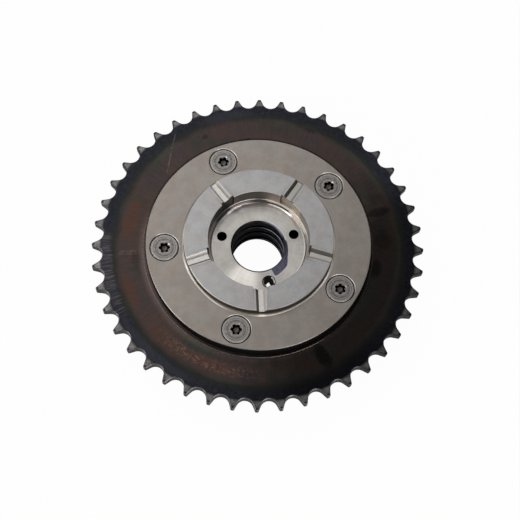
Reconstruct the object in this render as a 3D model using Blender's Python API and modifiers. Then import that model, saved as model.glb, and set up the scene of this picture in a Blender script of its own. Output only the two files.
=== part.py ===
# Cam phaser: a toothed chain sprocket made in one with a five-web vane housing, closed by a
# cover on the camshaft side and a plate on the far side, with a vane rotor that swings inside.
# +Z points out of the camshaft side along the cam axis. The far plate's outer face is z = 0.
import math

import bmesh
import bpy
from mathutils import Matrix, Vector

MM = 0.001
GAP = 0.3 * MM                      # clearance kept between faces that meet
CUT_PAST = 1.0 * MM                 # how far a cutter runs on past the faces it opens
WELD = 0.005 * MM                   # points closer than this are one
SHARP_ANGLE = math.radians(28)      # edges bent more than this stay sharp
FULL_TURN = 2 * math.pi

# Chain sprocket
TOOTH_COUNT = 44
CHAIN_PITCH = 9.525 * MM
TIP_ABOVE_PITCH = 1.24 * MM
ROOT_BELOW_PITCH = 3.19 * MM
SEAT_RADIUS = 3.47 * MM             # round bottom of each tooth gap
SEAT_POINTS = 5                     # outline points on each half of a seat
TIP_WIDTH = 1.0 * MM
TIP_THICKNESS = 1.7 * MM
RIM_THICKNESS = 3.3 * MM
TOOTH_BEVEL = 4.0 * MM              # radial length of the cone that thins each tooth
TOOTH_PHASE = math.radians(4.11)

# Vane housing and its screws
LOBE_COUNT = 5                      # webs, vanes, screws and hub slots
FIRST_SCREW = math.radians(-26.9)
CHAMBER_RADIUS = 41.6 * MM
CHAMBER_HEIGHT = 15.45 * MM
BARREL_WALL = 6.4 * MM
BARREL_FILLET = 1.5 * MM
BARREL_CHAMFER = 0.8 * MM
WEB_HALF_ANGLE = math.radians(12.0)
CORNER_FILLET = 0.6 * MM
FILLET_LEAN = 0.3                   # share of a fillet's size at its middle point
ARC_PIECES = 12                     # pieces in a chamber's wall and a core's span
SHORT_ARC_PIECES = 6                # pieces in a web's tip and the pocket's open side
SCREW_INSET = 3.5 * MM              # screw circle inside the chamber wall

# Cover and far plate
COVER_SEAT_DEPTH = 0.5 * MM         # turned below the sprocket's face
COVER_SEAT_MARGIN = 1.4 * MM        # open groove left around the cover
COVER_INSET = 2.5 * MM              # cover edge inside the barrel's radius
COVER_THICKNESS = 6.02 * MM
COVER_CHAMFER = 0.35 * MM
COVER_HOLE_BEVEL = 1.0 * MM
PLATE_THICKNESS = 5.0 * MM
PLATE_INSET = 1.8 * MM
PLATE_CHAMFER = 1.0 * MM

# Rotor
SWING = math.radians(25.0)          # travel between the lock vane's two stops
STOP_GAP = math.radians(0.5)        # left at each stop
VANE_HALF_ANGLE = math.radians(7.0)
VANE_HEIGHT = 8.6 * MM              # radial, from the core to the chamber wall
SEAL_LAND = 2.5 * MM                # core under the cover, outside the hub ring
RING_CLEARANCE = 0.5 * MM
RING_WIDTH = 10.0 * MM
RING_PROUD = 3.23 * MM              # hub ring above the cover's face
RING_CHAMFER = 0.25 * MM
RECESS_DEPTH = 8.95 * MM            # camshaft seat below the ring's face
LEDGE_WIDTH = 1.0 * MM
LEDGE_HEIGHT = 1.25 * MM
SEAT_FILLET = 0.5 * MM
BORE_RADIUS = 10.75 * MM
BORE_CHAMFER = 0.3 * MM
BORE_GROOVE_WIDTH = 2.3 * MM
BORE_GROOVE_DEPTH = 1.2 * MM
BORE_GROOVE_PITCH = 6.1 * MM
BORE_GROOVES = 3
FAR_GROOVE_HEIGHT = 3.1 * MM        # lowest groove's middle above the far hub face
FAR_HUB_RADIUS = 20.0 * MM
FAR_HUB_SUNK = 0.8 * MM             # far hub face inside the plate's outer face
FAR_HUB_CHAMFER = 0.5 * MM

# Slots across the hub ring, with the reliefs behind them in the recess wall
SLOT_OFFSET = math.radians(15.0)    # first slot after the first screw
SLOT_TOP_WIDTH = 4.2 * MM
SLOT_FLOOR_WIDTH = 1.7 * MM
SLOT_DEPTH = 1.7 * MM
RELIEF_WIDTH = 6.0 * MM
RELIEF_CUT_INSIDE = 2.0 * MM        # cutter length inside the recess wall
RELIEF_DEPTH = 0.5 * MM
RELIEF_ABOVE_LEDGE = 0.3 * MM

# Holes in the camshaft seat
PORT_INSET = 4.0 * MM               # hole centres inside the ledge's radius
PORT_RADIUS = 1.9 * MM
PORT_DEPTH = 5.0 * MM
PORT_ANGLES = (math.radians(169.0), math.radians(24.7))
DOWEL_ANGLE = math.radians(-71.2)
DOWEL_HOLE_RADIUS = 2.8 * MM
DOWEL_DEPTH = 6.0 * MM
DOWEL_SUNK = 0.4 * MM
DOWEL_WALL = 0.7 * MM
DOWEL_SLOT = 0.9 * MM
DOWEL_SLOT_ANGLE = math.radians(-40.0)
POCKET_DEPTH = 0.5 * MM
# corners of the shallow pocket beside the bore: (radius beyond the bore, angle in degrees)
POCKET_CORNERS = ((0.2, 23.5), (0.9, 14.5), (1.1, 1.0), (1.7, -16.0), (3.2, -31.0),
                  (3.3, -45.0), (3.35, -55.5), (2.4, -60.0), (1.1, -58.5))

# Oil drillings from the bore grooves to the two sides of each vane
DRILLING_RADIUS = 1.1 * MM
DRILLING_SETBACK = math.radians(6.5)

# Cover screws
SHANK_RADIUS = 3.0 * MM
HEAD_RADIUS = 5.5 * MM
HEAD_LAND = 0.5 * MM
HEAD_SUNK = 0.15 * MM
SCREW_LENGTH = 25.0 * MM
SOCKET_RADIUS = 1.95 * MM
SOCKET_LOBE = 0.32 * MM
SOCKET_LOBES = 6
SOCKET_POINTS = 4                   # outline points on each lobe
SOCKET_DEPTH = 2.2 * MM
SCREW_TURN = 0.7                    # each screw stopped at its own angle

# Seals in the web tips and vane tips, each pushed out by a bowed leaf spring
SEAL_WIDTH = 1.6 * MM
SEAL_DEPTH = 1.5 * MM
LEAF_THICKNESS = 0.25 * MM
LEAF_BOW = 0.3 * MM
LEAF_MARGIN = 1.5 * MM              # leaf shorter than the housing at each end
LEAF_PIECES = 8
SEAL_BEVEL = 0.12 * MM
WEB_SEAL_OFFSET = math.radians(7.5)     # beside the screw hole
LOCK_SEAL_OFFSET = math.radians(8.0)    # beside the lock pin bore

# Lock pin
PIN_RADIUS = 3.7 * MM
PIN_WALL = 1.3 * MM
PIN_NOSE = 2.0 * MM
PIN_NOSE_TAPER = 0.35 * MM
PIN_TRAVEL = 1.2 * MM
PIN_INSET = 6.2 * MM                # pin axis inside the chamber wall
CAP_THICKNESS = 2.3 * MM
CAP_HOLE_RADIUS = 0.8 * MM
BUSH_WALL = 1.1 * MM
BUSH_HEIGHT = 3.4 * MM
BUSH_CLEARANCE = 0.25 * MM
BUSH_VENT_RADIUS = 1.2 * MM
SPRING_WIRE = 0.35 * MM             # wire radius
SPRING_TURNS = 5
SPRING_POINTS_PER_TURN = 8

# Facets around the turned pieces
HOUSING_STEPS = 66
ROTOR_STEPS = 52
PLATE_STEPS = 54
SMALL_STEPS = 16
HOLE_STEPS = 16
HEAD_STEPS = 20
DRILL_STEPS = 10

# Places along Z, from the far plate up
HOUSING_LOW = PLATE_THICKNESS + GAP
HOUSING_HIGH = HOUSING_LOW + CHAMBER_HEIGHT
SPROCKET_FRONT = HOUSING_HIGH + COVER_SEAT_DEPTH
SPROCKET_BACK = SPROCKET_FRONT - RIM_THICKNESS
COVER_LOW = HOUSING_HIGH + GAP
COVER_HIGH = COVER_LOW + COVER_THICKNESS
RING_FACE = COVER_HIGH + RING_PROUD
SEAT_FACE = RING_FACE - RECESS_DEPTH
LEDGE_FACE = SEAT_FACE + LEDGE_HEIGHT

# Radii, from the chamber wall in and out
BARREL_RADIUS = CHAMBER_RADIUS + BARREL_WALL
COVER_RADIUS = BARREL_RADIUS - COVER_INSET
PLATE_RADIUS = BARREL_RADIUS - PLATE_INSET
SCREW_CIRCLE = CHAMBER_RADIUS - SCREW_INSET
CORE_RADIUS = CHAMBER_RADIUS - VANE_HEIGHT
WEB_TIP_RADIUS = CORE_RADIUS + GAP
VANE_TIP_RADIUS = CHAMBER_RADIUS - GAP
RING_RADIUS = CORE_RADIUS - SEAL_LAND
RECESS_RADIUS = RING_RADIUS - RING_WIDTH
LEDGE_RADIUS = RECESS_RADIUS - LEDGE_WIDTH
PORT_CIRCLE = LEDGE_RADIUS - PORT_INSET
PIN_CIRCLE = CHAMBER_RADIUS - PIN_INSET
PITCH_RADIUS = CHAIN_PITCH / 2 / math.sin(math.pi / TOOTH_COUNT)
TIP_RADIUS = PITCH_RADIUS + TIP_ABOVE_PITCH
ROOT_RADIUS = PITCH_RADIUS - ROOT_BELOW_PITCH

# Angles
LOBE_PITCH = FULL_TURN / LOBE_COUNT
LOCK_VANE_HALF = (LOBE_PITCH - SWING) / 2 - WEB_HALF_ANGLE - STOP_GAP
WEB_ANGLES = [FIRST_SCREW + k * LOBE_PITCH for k in range(LOBE_COUNT)]
VANE_ANGLES = [a + WEB_HALF_ANGLE + STOP_GAP + LOCK_VANE_HALF for a in WEB_ANGLES]
VANE_HALVES = [LOCK_VANE_HALF] + [VANE_HALF_ANGLE] * (LOBE_COUNT - 1)
SLOT_ANGLES = [a + SLOT_OFFSET for a in WEB_ANGLES]
WEB_SEAL_ANGLES = [a + WEB_SEAL_OFFSET for a in WEB_ANGLES]
VANE_SEAL_ANGLES = [VANE_ANGLES[0] + LOCK_SEAL_OFFSET] + VANE_ANGLES[1:]
SEAL_GROOVE = SEAL_DEPTH + LEAF_THICKNESS + LEAF_BOW + 2 * GAP


def start_scene():
    for old in list(bpy.data.objects):
        bpy.data.objects.remove(old, do_unlink=True)
    parts = bpy.data.collections.new("cam_phaser")
    cutters = bpy.data.collections.new("cutters")
    bpy.context.scene.collection.children.link(parts)
    bpy.context.scene.collection.children.link(cutters)
    return parts, cutters


PARTS, CUTTERS = start_scene()


def metal(name, colour, roughness, metallic=1.0):
    material = bpy.data.materials.new(name)
    material.use_nodes = True
    shader = material.node_tree.nodes["Principled BSDF"]
    shader.inputs["Base Color"].default_value = (*colour, 1.0)
    shader.inputs["Roughness"].default_value = roughness
    shader.inputs["Metallic"].default_value = metallic
    material.diffuse_color = (*colour, 1.0)
    return material


OXIDE = metal("oxide_steel", (0.045, 0.038, 0.038), 0.42, 0.8)
GROUND = metal("ground_steel", (0.36, 0.34, 0.32), 0.45)
SINTER = metal("sintered_steel", (0.42, 0.42, 0.42), 0.4)
SCREW_STEEL = metal("screw_steel", (0.22, 0.22, 0.22), 0.4)
HARD_STEEL = metal("hardened_steel", (0.5, 0.5, 0.5), 0.3)
SPRING_STEEL = metal("spring_steel", (0.35, 0.34, 0.33), 0.35)
SEAL = metal("seal_plastic", (0.03, 0.028, 0.025), 0.55, 0.0)


def polar(radius, angle):
    return radius * math.cos(angle), radius * math.sin(angle)


def arc(radius, start, end, pieces):
    """Points on a circle about the axis, both ends included."""
    return [polar(radius, start + (end - start) * k / pieces) for k in range(pieces + 1)]


def evaluated_mesh(holder):
    depsgraph = bpy.context.evaluated_depsgraph_get()
    depsgraph.update()
    return bpy.data.meshes.new_from_object(holder.evaluated_get(depsgraph))


def new_object(name, mesh, collection):
    made = bpy.data.objects.new(name, mesh)
    collection.objects.link(made)
    return made


def as_cutter(cutter):
    cutter.hide_render = True
    cutter.display_type = "WIRE"
    return cutter


def turned(name, profile, steps, collection=PARTS, closed=True):
    """Profile of (radius, z) points, down its outer side, spun about Z."""
    count = len(profile)
    edges = [(k, k + 1) for k in range(count - 1)]
    if closed:
        edges.append((count - 1, 0))
    mesh = bpy.data.meshes.new(name)
    mesh.from_pydata([(r, 0, z) for r, z in profile], edges, [])
    made = new_object(name, mesh, collection)
    screw = made.modifiers.new("spin", "SCREW")
    screw.axis = "Z"
    screw.angle = FULL_TURN
    screw.steps = steps
    screw.render_steps = steps
    screw.use_merge_vertices = True
    screw.merge_threshold = 0.00001
    return made


def prism(name, outline, low, high, collection=CUTTERS):
    """Closed flat outline of (x, y) points, extruded from low to high along Z."""
    curve = bpy.data.curves.new(name, "CURVE")
    curve.dimensions = "2D"
    curve.fill_mode = "BOTH"
    curve.extrude = (high - low) / 2
    spline = curve.splines.new("POLY")
    spline.points.add(len(outline) - 1)
    for point, (x, y) in zip(spline.points, outline):
        point.co = (x, y, 0, 1)
    spline.use_cyclic_u = True
    holder = bpy.data.objects.new(name, curve)
    holder.location.z = (low + high) / 2
    collection.objects.link(holder)
    mesh = evaluated_mesh(holder)
    mesh.transform(Matrix.Translation(holder.location))
    bpy.data.objects.remove(holder, do_unlink=True)
    cage = bmesh.new()
    cage.from_mesh(mesh)
    bmesh.ops.remove_doubles(cage, verts=cage.verts, dist=WELD)
    bmesh.ops.recalc_face_normals(cage, faces=cage.faces)
    cage.to_mesh(mesh)
    cage.free()
    return new_object(name, mesh, collection)


def rod(name, radius, low, high, steps, collection=CUTTERS):
    """Round bar about Z."""
    mesh = bpy.data.meshes.new(name)
    cage = bmesh.new()
    lift = Matrix.Translation((0, 0, (low + high) / 2))
    bmesh.ops.create_cone(cage, cap_ends=True, segments=steps, radius1=radius,
                          radius2=radius, depth=high - low, matrix=lift)
    cage.to_mesh(mesh)
    cage.free()
    return new_object(name, mesh, collection)


def block(name, size, centre, collection=CUTTERS):
    mesh = bpy.data.meshes.new(name)
    cage = bmesh.new()
    place = Matrix.Translation(centre) @ Matrix.Diagonal((*size, 1))
    bmesh.ops.create_cube(cage, size=1, matrix=place)
    cage.to_mesh(mesh)
    cage.free()
    return new_object(name, mesh, collection)


def repeated(cutter, places):
    """Puts a copy of the cutter's mesh at each place, all in the one mesh."""
    source = cutter.data
    cage = bmesh.new()
    for place in places:
        copy = source.copy()
        copy.transform(place)
        cage.from_mesh(copy)
        bpy.data.meshes.remove(copy)
    cage.to_mesh(source)
    cage.free()
    return as_cutter(cutter)


def turn(angle):
    return Matrix.Rotation(angle, 4, "Z")


def out_at(radius, angle, height=0.0):
    """Place at a radius and angle, with the copy's X axis pointing outwards."""
    return turn(angle) @ Matrix.Translation((radius, 0, height))


def shape(target, cutter, operation="DIFFERENCE"):
    boolean = target.modifiers.new(cutter.name, "BOOLEAN")
    boolean.operation = operation
    boolean.object = cutter
    boolean.solver = "EXACT"


def finish(made, material, parent=None):
    """Applies the modifiers, shades round faces smooth and gives the material."""
    mesh = evaluated_mesh(made)
    mesh.name = made.name
    made.modifiers.clear()
    made.data = mesh
    mesh.materials.clear()
    mesh.materials.append(material)
    mesh.shade_smooth()
    mesh.set_sharp_from_angle(angle=SHARP_ANGLE)
    made.parent = parent
    return made


def axis_empty(name, place=(0, 0, 0), parent=None):
    empty = bpy.data.objects.new(name, None)
    empty.empty_display_type = "SINGLE_ARROW"
    empty.empty_display_size = 0.02
    empty.location = place
    empty.parent = parent
    PARTS.objects.link(empty)
    return empty


def tooth_outline():
    """One gap between two teeth, repeated: a round seat, and straight flanks to the tips."""
    half_pitch = math.pi / TOOTH_COUNT
    tip = Vector(polar(TIP_RADIUS, half_pitch - TIP_WIDTH / 2 / TIP_RADIUS))
    centre = Vector((ROOT_RADIUS + SEAT_RADIUS, 0))
    reach = tip - centre
    tangent = math.atan2(reach.y, reach.x) + math.acos(min(1, SEAT_RADIUS / reach.length))
    flank = []
    for k in range(SEAT_POINTS):
        a = math.pi + (tangent - math.pi) * k / (SEAT_POINTS - 1)
        flank.append(centre + Vector(polar(SEAT_RADIUS, a)))
    flank.append(tip)
    gap = [Vector((p.x, -p.y)) for p in reversed(flank[1:])] + flank
    outline = []
    for k in range(TOOTH_COUNT):
        spin = Matrix.Rotation(TOOTH_PHASE + half_pitch * (2 * k + 1), 2)
        outline += [tuple(spin @ p) for p in gap]
    return outline


def fillet_at(radius, flank, side, inward):
    """Round between a radial flank and a circle: inward is -1 inside it and 1 outside it."""
    centre_radius = radius + inward * CORNER_FILLET
    lean = math.asin(CORNER_FILLET / centre_radius)
    centre = Vector(polar(centre_radius, flank + side * lean))
    points = []
    for share in (0, 0.5, 1):
        # from the flank, square to it, to the circle, straight out or in
        from_flank = flank - side * math.pi / 2
        to_circle = flank + side * lean + (0 if inward < 0 else math.pi)
        sweep = (to_circle - from_flank + math.pi) % FULL_TURN - math.pi
        points.append(tuple(centre + Vector(polar(CORNER_FILLET, from_flank + sweep * share))))
    return points, flank + side * lean


def chamber_outline():
    """Hollow of the housing: five chambers between webs that reach in to the core."""
    outline = []
    for k, web in enumerate(WEB_ANGLES):
        following = WEB_ANGLES[(k + 1) % LOBE_COUNT] + (FULL_TURN if k == LOBE_COUNT - 1 else 0)
        outline += arc(WEB_TIP_RADIUS, web - WEB_HALF_ANGLE, web + WEB_HALF_ANGLE,
                       SHORT_ARC_PIECES)
        first, start = fillet_at(CHAMBER_RADIUS, web + WEB_HALF_ANGLE, 1, -1)
        last, end = fillet_at(CHAMBER_RADIUS, following - WEB_HALF_ANGLE, -1, -1)
        outline += first + arc(CHAMBER_RADIUS, start, end, ARC_PIECES)[1:-1] + last[::-1]
    return outline


def between_vanes_outline(k):
    """Space between one vane and the next, outside the rotor's core."""
    following = VANE_ANGLES[(k + 1) % LOBE_COUNT] + (FULL_TURN if k == LOBE_COUNT - 1 else 0)
    low = VANE_ANGLES[k] + VANE_HALVES[k]
    high = following - VANE_HALVES[(k + 1) % LOBE_COUNT]
    first, start = fillet_at(CORE_RADIUS, low, 1, 1)
    last, end = fillet_at(CORE_RADIUS, high, -1, 1)
    clear_of_tip = BARREL_RADIUS
    outline = [polar(clear_of_tip, low)] + first
    outline += arc(CORE_RADIUS, start, end, ARC_PIECES)[1:-1] + last[::-1]
    return outline + [polar(clear_of_tip, high)] + arc(clear_of_tip, high, low, 3)[1:-1]


def seal_grooves(name, mouth_radius, inward, angles):
    """Grooves along Z that open at mouth_radius and run inward (-1) or outward (1)."""
    mouth = mouth_radius - inward * CUT_PAST
    bottom = mouth_radius + inward * SEAL_GROOVE
    size = (abs(bottom - mouth), SEAL_WIDTH + 2 * GAP, CHAMBER_HEIGHT + 2 * CUT_PAST)
    centre = ((bottom + mouth) / 2, 0, (HOUSING_LOW + HOUSING_HIGH) / 2)
    return repeated(block(name, size, centre), [turn(a) for a in angles])


def sprocket_housing():
    front = SPROCKET_FRONT
    middle = front - RIM_THICKNESS / 2
    bevel_radius = TIP_RADIUS - TOOTH_BEVEL
    seat_radius = COVER_RADIUS + COVER_SEAT_MARGIN
    low = SPROCKET_BACK
    profile = [
        (seat_radius + COVER_CHAMFER, front), (bevel_radius, front),
        (TIP_RADIUS, middle + TIP_THICKNESS / 2), (TIP_RADIUS, middle - TIP_THICKNESS / 2),
        (bevel_radius, low), (BARREL_RADIUS + BARREL_FILLET, low),
        (BARREL_RADIUS + BARREL_FILLET * FILLET_LEAN, low - BARREL_FILLET * FILLET_LEAN),
        (BARREL_RADIUS, low - BARREL_FILLET), (BARREL_RADIUS, HOUSING_LOW + BARREL_CHAMFER),
        (BARREL_RADIUS - BARREL_CHAMFER, HOUSING_LOW), (WEB_TIP_RADIUS - CUT_PAST, HOUSING_LOW),
        (WEB_TIP_RADIUS - CUT_PAST, HOUSING_HIGH), (seat_radius, HOUSING_HIGH),
        (seat_radius, front - COVER_CHAMFER)]
    made = turned("sprocket_housing", profile, HOUSING_STEPS)
    teeth = as_cutter(prism("tooth_form", tooth_outline(), HOUSING_LOW - CUT_PAST,
                            front + CUT_PAST))
    shape(made, teeth, "INTERSECT")
    hollow = as_cutter(prism("chamber_form", chamber_outline(), HOUSING_LOW - CUT_PAST,
                             HOUSING_HIGH + CUT_PAST))
    shape(made, hollow)
    holes = rod("housing_screw_holes", SHANK_RADIUS + GAP, HOUSING_LOW - CUT_PAST,
                HOUSING_HIGH + CUT_PAST, HOLE_STEPS)
    shape(made, repeated(holes, [out_at(SCREW_CIRCLE, a) for a in WEB_ANGLES]))
    shape(made, seal_grooves("web_seal_grooves", WEB_TIP_RADIUS, 1, WEB_SEAL_ANGLES))
    return finish(made, OXIDE)


def head_profile(margin, top, bottom):
    """Countersunk head and shank, down the outer side; margin widens it into its hole."""
    slant = margin * math.sqrt(2)
    land = COVER_HIGH - HEAD_SUNK - HEAD_LAND - (slant - margin)
    cone = HEAD_RADIUS - SHANK_RADIUS
    return [(0, top), (HEAD_RADIUS + margin, top), (HEAD_RADIUS + margin, land),
            (SHANK_RADIUS + margin, land - cone), (SHANK_RADIUS + margin, bottom), (0, bottom)]


def cam_side_cover():
    hole = RING_RADIUS + RING_CLEARANCE
    profile = [
        (hole + COVER_HOLE_BEVEL, COVER_HIGH), (COVER_RADIUS - COVER_CHAMFER, COVER_HIGH),
        (COVER_RADIUS, COVER_HIGH - COVER_CHAMFER), (COVER_RADIUS, COVER_LOW), (hole, COVER_LOW),
        (hole, COVER_HIGH - COVER_HOLE_BEVEL)]
    made = turned("cam_side_cover", profile, PLATE_STEPS)
    sink = head_profile(GAP, COVER_HIGH + CUT_PAST, COVER_LOW - CUT_PAST)
    sinks = turned("cover_countersinks", sink, HEAD_STEPS, CUTTERS, closed=False)
    sinks.data = evaluated_mesh(sinks)
    sinks.modifiers.clear()
    shape(made, repeated(sinks, [out_at(SCREW_CIRCLE, a) for a in WEB_ANGLES]))
    return finish(made, GROUND)


def front_plate():
    hole = FAR_HUB_RADIUS + GAP
    profile = [
        (hole + PLATE_CHAMFER / 2, PLATE_THICKNESS), (PLATE_RADIUS, PLATE_THICKNESS),
        (PLATE_RADIUS, PLATE_CHAMFER), (PLATE_RADIUS - PLATE_CHAMFER, 0),
        (hole + PLATE_CHAMFER / 2, 0), (hole, PLATE_CHAMFER / 2),
        (hole, PLATE_THICKNESS - PLATE_CHAMFER / 2)]
    made = turned("front_plate", profile, PLATE_STEPS)
    past = PLATE_THICKNESS + CUT_PAST
    holes = rod("plate_screw_holes", SHANK_RADIUS + GAP, -CUT_PAST, past, HOLE_STEPS)
    shape(made, repeated(holes, [out_at(SCREW_CIRCLE, a) for a in WEB_ANGLES]))
    socket_floor = PLATE_THICKNESS - BUSH_HEIGHT - 2 * GAP
    pocket_radius = PIN_RADIUS + BUSH_CLEARANCE + BUSH_WALL + GAP
    pocket = rod("bush_pocket", pocket_radius, socket_floor, past, HOLE_STEPS)
    shape(made, repeated(pocket, [out_at(PIN_CIRCLE, VANE_ANGLES[0])]))
    vent = rod("bush_vent", BUSH_VENT_RADIUS, -CUT_PAST, past, DRILL_STEPS)
    shape(made, repeated(vent, [out_at(PIN_CIRCLE, VANE_ANGLES[0])]))
    return finish(made, GROUND)


def lock_bush():
    """Hardened socket in the far plate that the pin drops into when the rotor is parked."""
    inner = PIN_RADIUS + BUSH_CLEARANCE
    outer = inner + BUSH_WALL
    high = PLATE_THICKNESS - GAP
    low = high - BUSH_HEIGHT
    lead = BUSH_WALL / 3
    profile = [(inner + lead, high), (outer, high), (outer, low), (inner, low),
               (inner, high - lead)]
    made = turned("lock_bush", profile, SMALL_STEPS)
    made.location = out_at(PIN_CIRCLE, VANE_ANGLES[0]).translation
    return finish(made, HARD_STEEL)


def six_lobe_outline():
    count = SOCKET_POINTS * SOCKET_LOBES
    angles = [FULL_TURN * k / count for k in range(count)]
    return [polar(SOCKET_RADIUS + SOCKET_LOBE * math.cos(SOCKET_LOBES * a), a) for a in angles]


def cover_screws():
    top = COVER_HIGH - HEAD_SUNK
    profile = head_profile(0, top, top - SCREW_LENGTH)
    edge = HEAD_LAND / 2
    rim = profile[1]
    tip = profile[4]
    profile[1:2] = [(rim[0] - edge, rim[1]), (rim[0], rim[1] - edge)]
    profile[-2:-1] = [(tip[0], tip[1] + 2 * edge), (tip[0] - 2 * edge, tip[1])]
    first = turned("cover_screw_1", profile, HEAD_STEPS, closed=False)
    socket = prism("six_lobe_socket", six_lobe_outline(), top - SOCKET_DEPTH, top + CUT_PAST)
    shape(first, as_cutter(socket))
    finish(first, SCREW_STEEL)
    screws = [first] + [new_object("cover_screw_%d" % (k + 1), first.data, PARTS)
                        for k in range(1, LOBE_COUNT)]
    for k, screw in enumerate(screws):
        screw.location = out_at(SCREW_CIRCLE, WEB_ANGLES[k]).translation
        screw.rotation_euler.z = WEB_ANGLES[k] + k * SCREW_TURN
    return screws


def groove_heights():
    lowest = FAR_HUB_SUNK + FAR_GROOVE_HEIGHT
    return [lowest + k * BORE_GROOVE_PITCH for k in range(BORE_GROOVES)]


def rotor_profile():
    """Hub ring, vane band, far hub and grooved bore, in one closed section."""
    bore = BORE_RADIUS
    profile = [
        (RING_RADIUS - RING_CHAMFER, RING_FACE), (RING_RADIUS, RING_FACE - RING_CHAMFER),
        (RING_RADIUS, HOUSING_HIGH), (VANE_TIP_RADIUS, HOUSING_HIGH),
        (VANE_TIP_RADIUS, HOUSING_LOW), (FAR_HUB_RADIUS, HOUSING_LOW),
        (FAR_HUB_RADIUS, FAR_HUB_SUNK + FAR_HUB_CHAMFER),
        (FAR_HUB_RADIUS - FAR_HUB_CHAMFER, FAR_HUB_SUNK),
        (bore + BORE_CHAMFER * 2, FAR_HUB_SUNK), (bore, FAR_HUB_SUNK + BORE_CHAMFER * 2)]
    for middle in groove_heights():
        low = middle - BORE_GROOVE_WIDTH / 2
        high = middle + BORE_GROOVE_WIDTH / 2
        deep = bore + BORE_GROOVE_DEPTH
        profile += [(bore, low), (deep, low), (deep, high), (bore, high)]
    profile += [
        (bore, SEAT_FACE - BORE_CHAMFER), (bore + BORE_CHAMFER, SEAT_FACE),
        (LEDGE_RADIUS - SEAT_FILLET, SEAT_FACE),
        (LEDGE_RADIUS - SEAT_FILLET * FILLET_LEAN, SEAT_FACE + SEAT_FILLET * FILLET_LEAN),
        (LEDGE_RADIUS, SEAT_FACE + SEAT_FILLET), (LEDGE_RADIUS, LEDGE_FACE),
        (RECESS_RADIUS, LEDGE_FACE), (RECESS_RADIUS, RING_FACE - RING_CHAMFER),
        (RECESS_RADIUS + RING_CHAMFER, RING_FACE)]
    return profile


def slot_cutter():
    """Trapezium across the hub ring, wider at the face than at its floor."""
    widen = (SLOT_TOP_WIDTH - SLOT_FLOOR_WIDTH) / 2 / SLOT_DEPTH * CUT_PAST
    top = SLOT_TOP_WIDTH / 2 + widen
    floor = SLOT_FLOOR_WIDTH / 2
    section = [(-top, CUT_PAST), (-floor, -SLOT_DEPTH), (floor, -SLOT_DEPTH), (top, CUT_PAST)]
    cutter = prism("hub_slots", section, RECESS_RADIUS - CUT_PAST, RING_RADIUS + CUT_PAST)
    # the section's x becomes the slot's width and its y the height; the length runs outwards
    lie_down = Matrix(((0, 0, 1, 0), (1, 0, 0, 0), (0, 1, 0, 0), (0, 0, 0, 1)))
    face = Matrix.Translation((0, 0, RING_FACE))
    return repeated(cutter, [turn(a) @ face @ lie_down for a in SLOT_ANGLES])


def relief_cutter():
    low = LEDGE_FACE + RELIEF_ABOVE_LEDGE
    high = RING_FACE + CUT_PAST
    inner = RECESS_RADIUS - RELIEF_CUT_INSIDE
    outer = RECESS_RADIUS + RELIEF_DEPTH
    made = block("recess_reliefs", (outer - inner, RELIEF_WIDTH, high - low),
                 ((outer + inner) / 2, 0, (high + low) / 2))
    return repeated(made, [turn(a) for a in SLOT_ANGLES])


def pocket_cutter():
    """Shallow pocket in the seat that opens into the bore, left unmachined and dark."""
    corners = [polar(BORE_RADIUS + r * MM, math.radians(a)) for r, a in POCKET_CORNERS]
    start = math.radians(POCKET_CORNERS[-1][1])
    end = math.radians(POCKET_CORNERS[0][1])
    inside = arc(BORE_RADIUS - CUT_PAST, start, end, SHORT_ARC_PIECES)
    return as_cutter(prism("bore_pocket", corners + inside, SEAT_FACE - POCKET_DEPTH,
                           SEAT_FACE + CUT_PAST))


def drilling_cutter(name, height, side):
    """Radial oil drillings, one beside each vane, from a bore groove to the chamber."""
    cutter = rod(name, DRILLING_RADIUS, BORE_RADIUS - CUT_PAST, CORE_RADIUS + CUT_PAST,
                 DRILL_STEPS)
    lie_out = Matrix.Rotation(math.pi / 2, 4, "Y")
    places = []
    for middle, half in zip(VANE_ANGLES, VANE_HALVES):
        angle = middle + side * (half + DRILLING_SETBACK)
        places.append(turn(angle) @ Matrix.Translation((0, 0, height)) @ lie_out)
    return repeated(cutter, places)


def rotor(parent):
    made = turned("rotor", rotor_profile(), ROTOR_STEPS)
    for k in range(LOBE_COUNT):
        space = prism("between_vanes_%d" % (k + 1), between_vanes_outline(k),
                      HOUSING_LOW - CUT_PAST, HOUSING_HIGH + CUT_PAST)
        shape(made, as_cutter(space))
    shape(made, slot_cutter())
    shape(made, relief_cutter())
    shape(made, pocket_cutter())
    ports = rod("seat_ports", PORT_RADIUS, SEAT_FACE - PORT_DEPTH, SEAT_FACE + CUT_PAST, HOLE_STEPS)
    shape(made, repeated(ports, [out_at(PORT_CIRCLE, a) for a in PORT_ANGLES]))
    dowel = rod("dowel_hole", DOWEL_HOLE_RADIUS, SEAT_FACE - DOWEL_DEPTH, SEAT_FACE + CUT_PAST,
                HOLE_STEPS)
    shape(made, repeated(dowel, [out_at(PORT_CIRCLE, DOWEL_ANGLE)]))
    pin_bore = rod("pin_bore", PIN_RADIUS + GAP, HOUSING_LOW - CUT_PAST, HOUSING_HIGH + CUT_PAST,
                   HOLE_STEPS)
    shape(made, repeated(pin_bore, [out_at(PIN_CIRCLE, VANE_ANGLES[0])]))
    shape(made, seal_grooves("vane_seal_grooves", VANE_TIP_RADIUS, -1, VANE_SEAL_ANGLES))
    heights = groove_heights()
    shape(made, drilling_cutter("advance_drillings", heights[-1], -1))
    shape(made, drilling_cutter("retard_drillings", heights[-2], 1))
    return finish(made, SINTER, parent)


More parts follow.
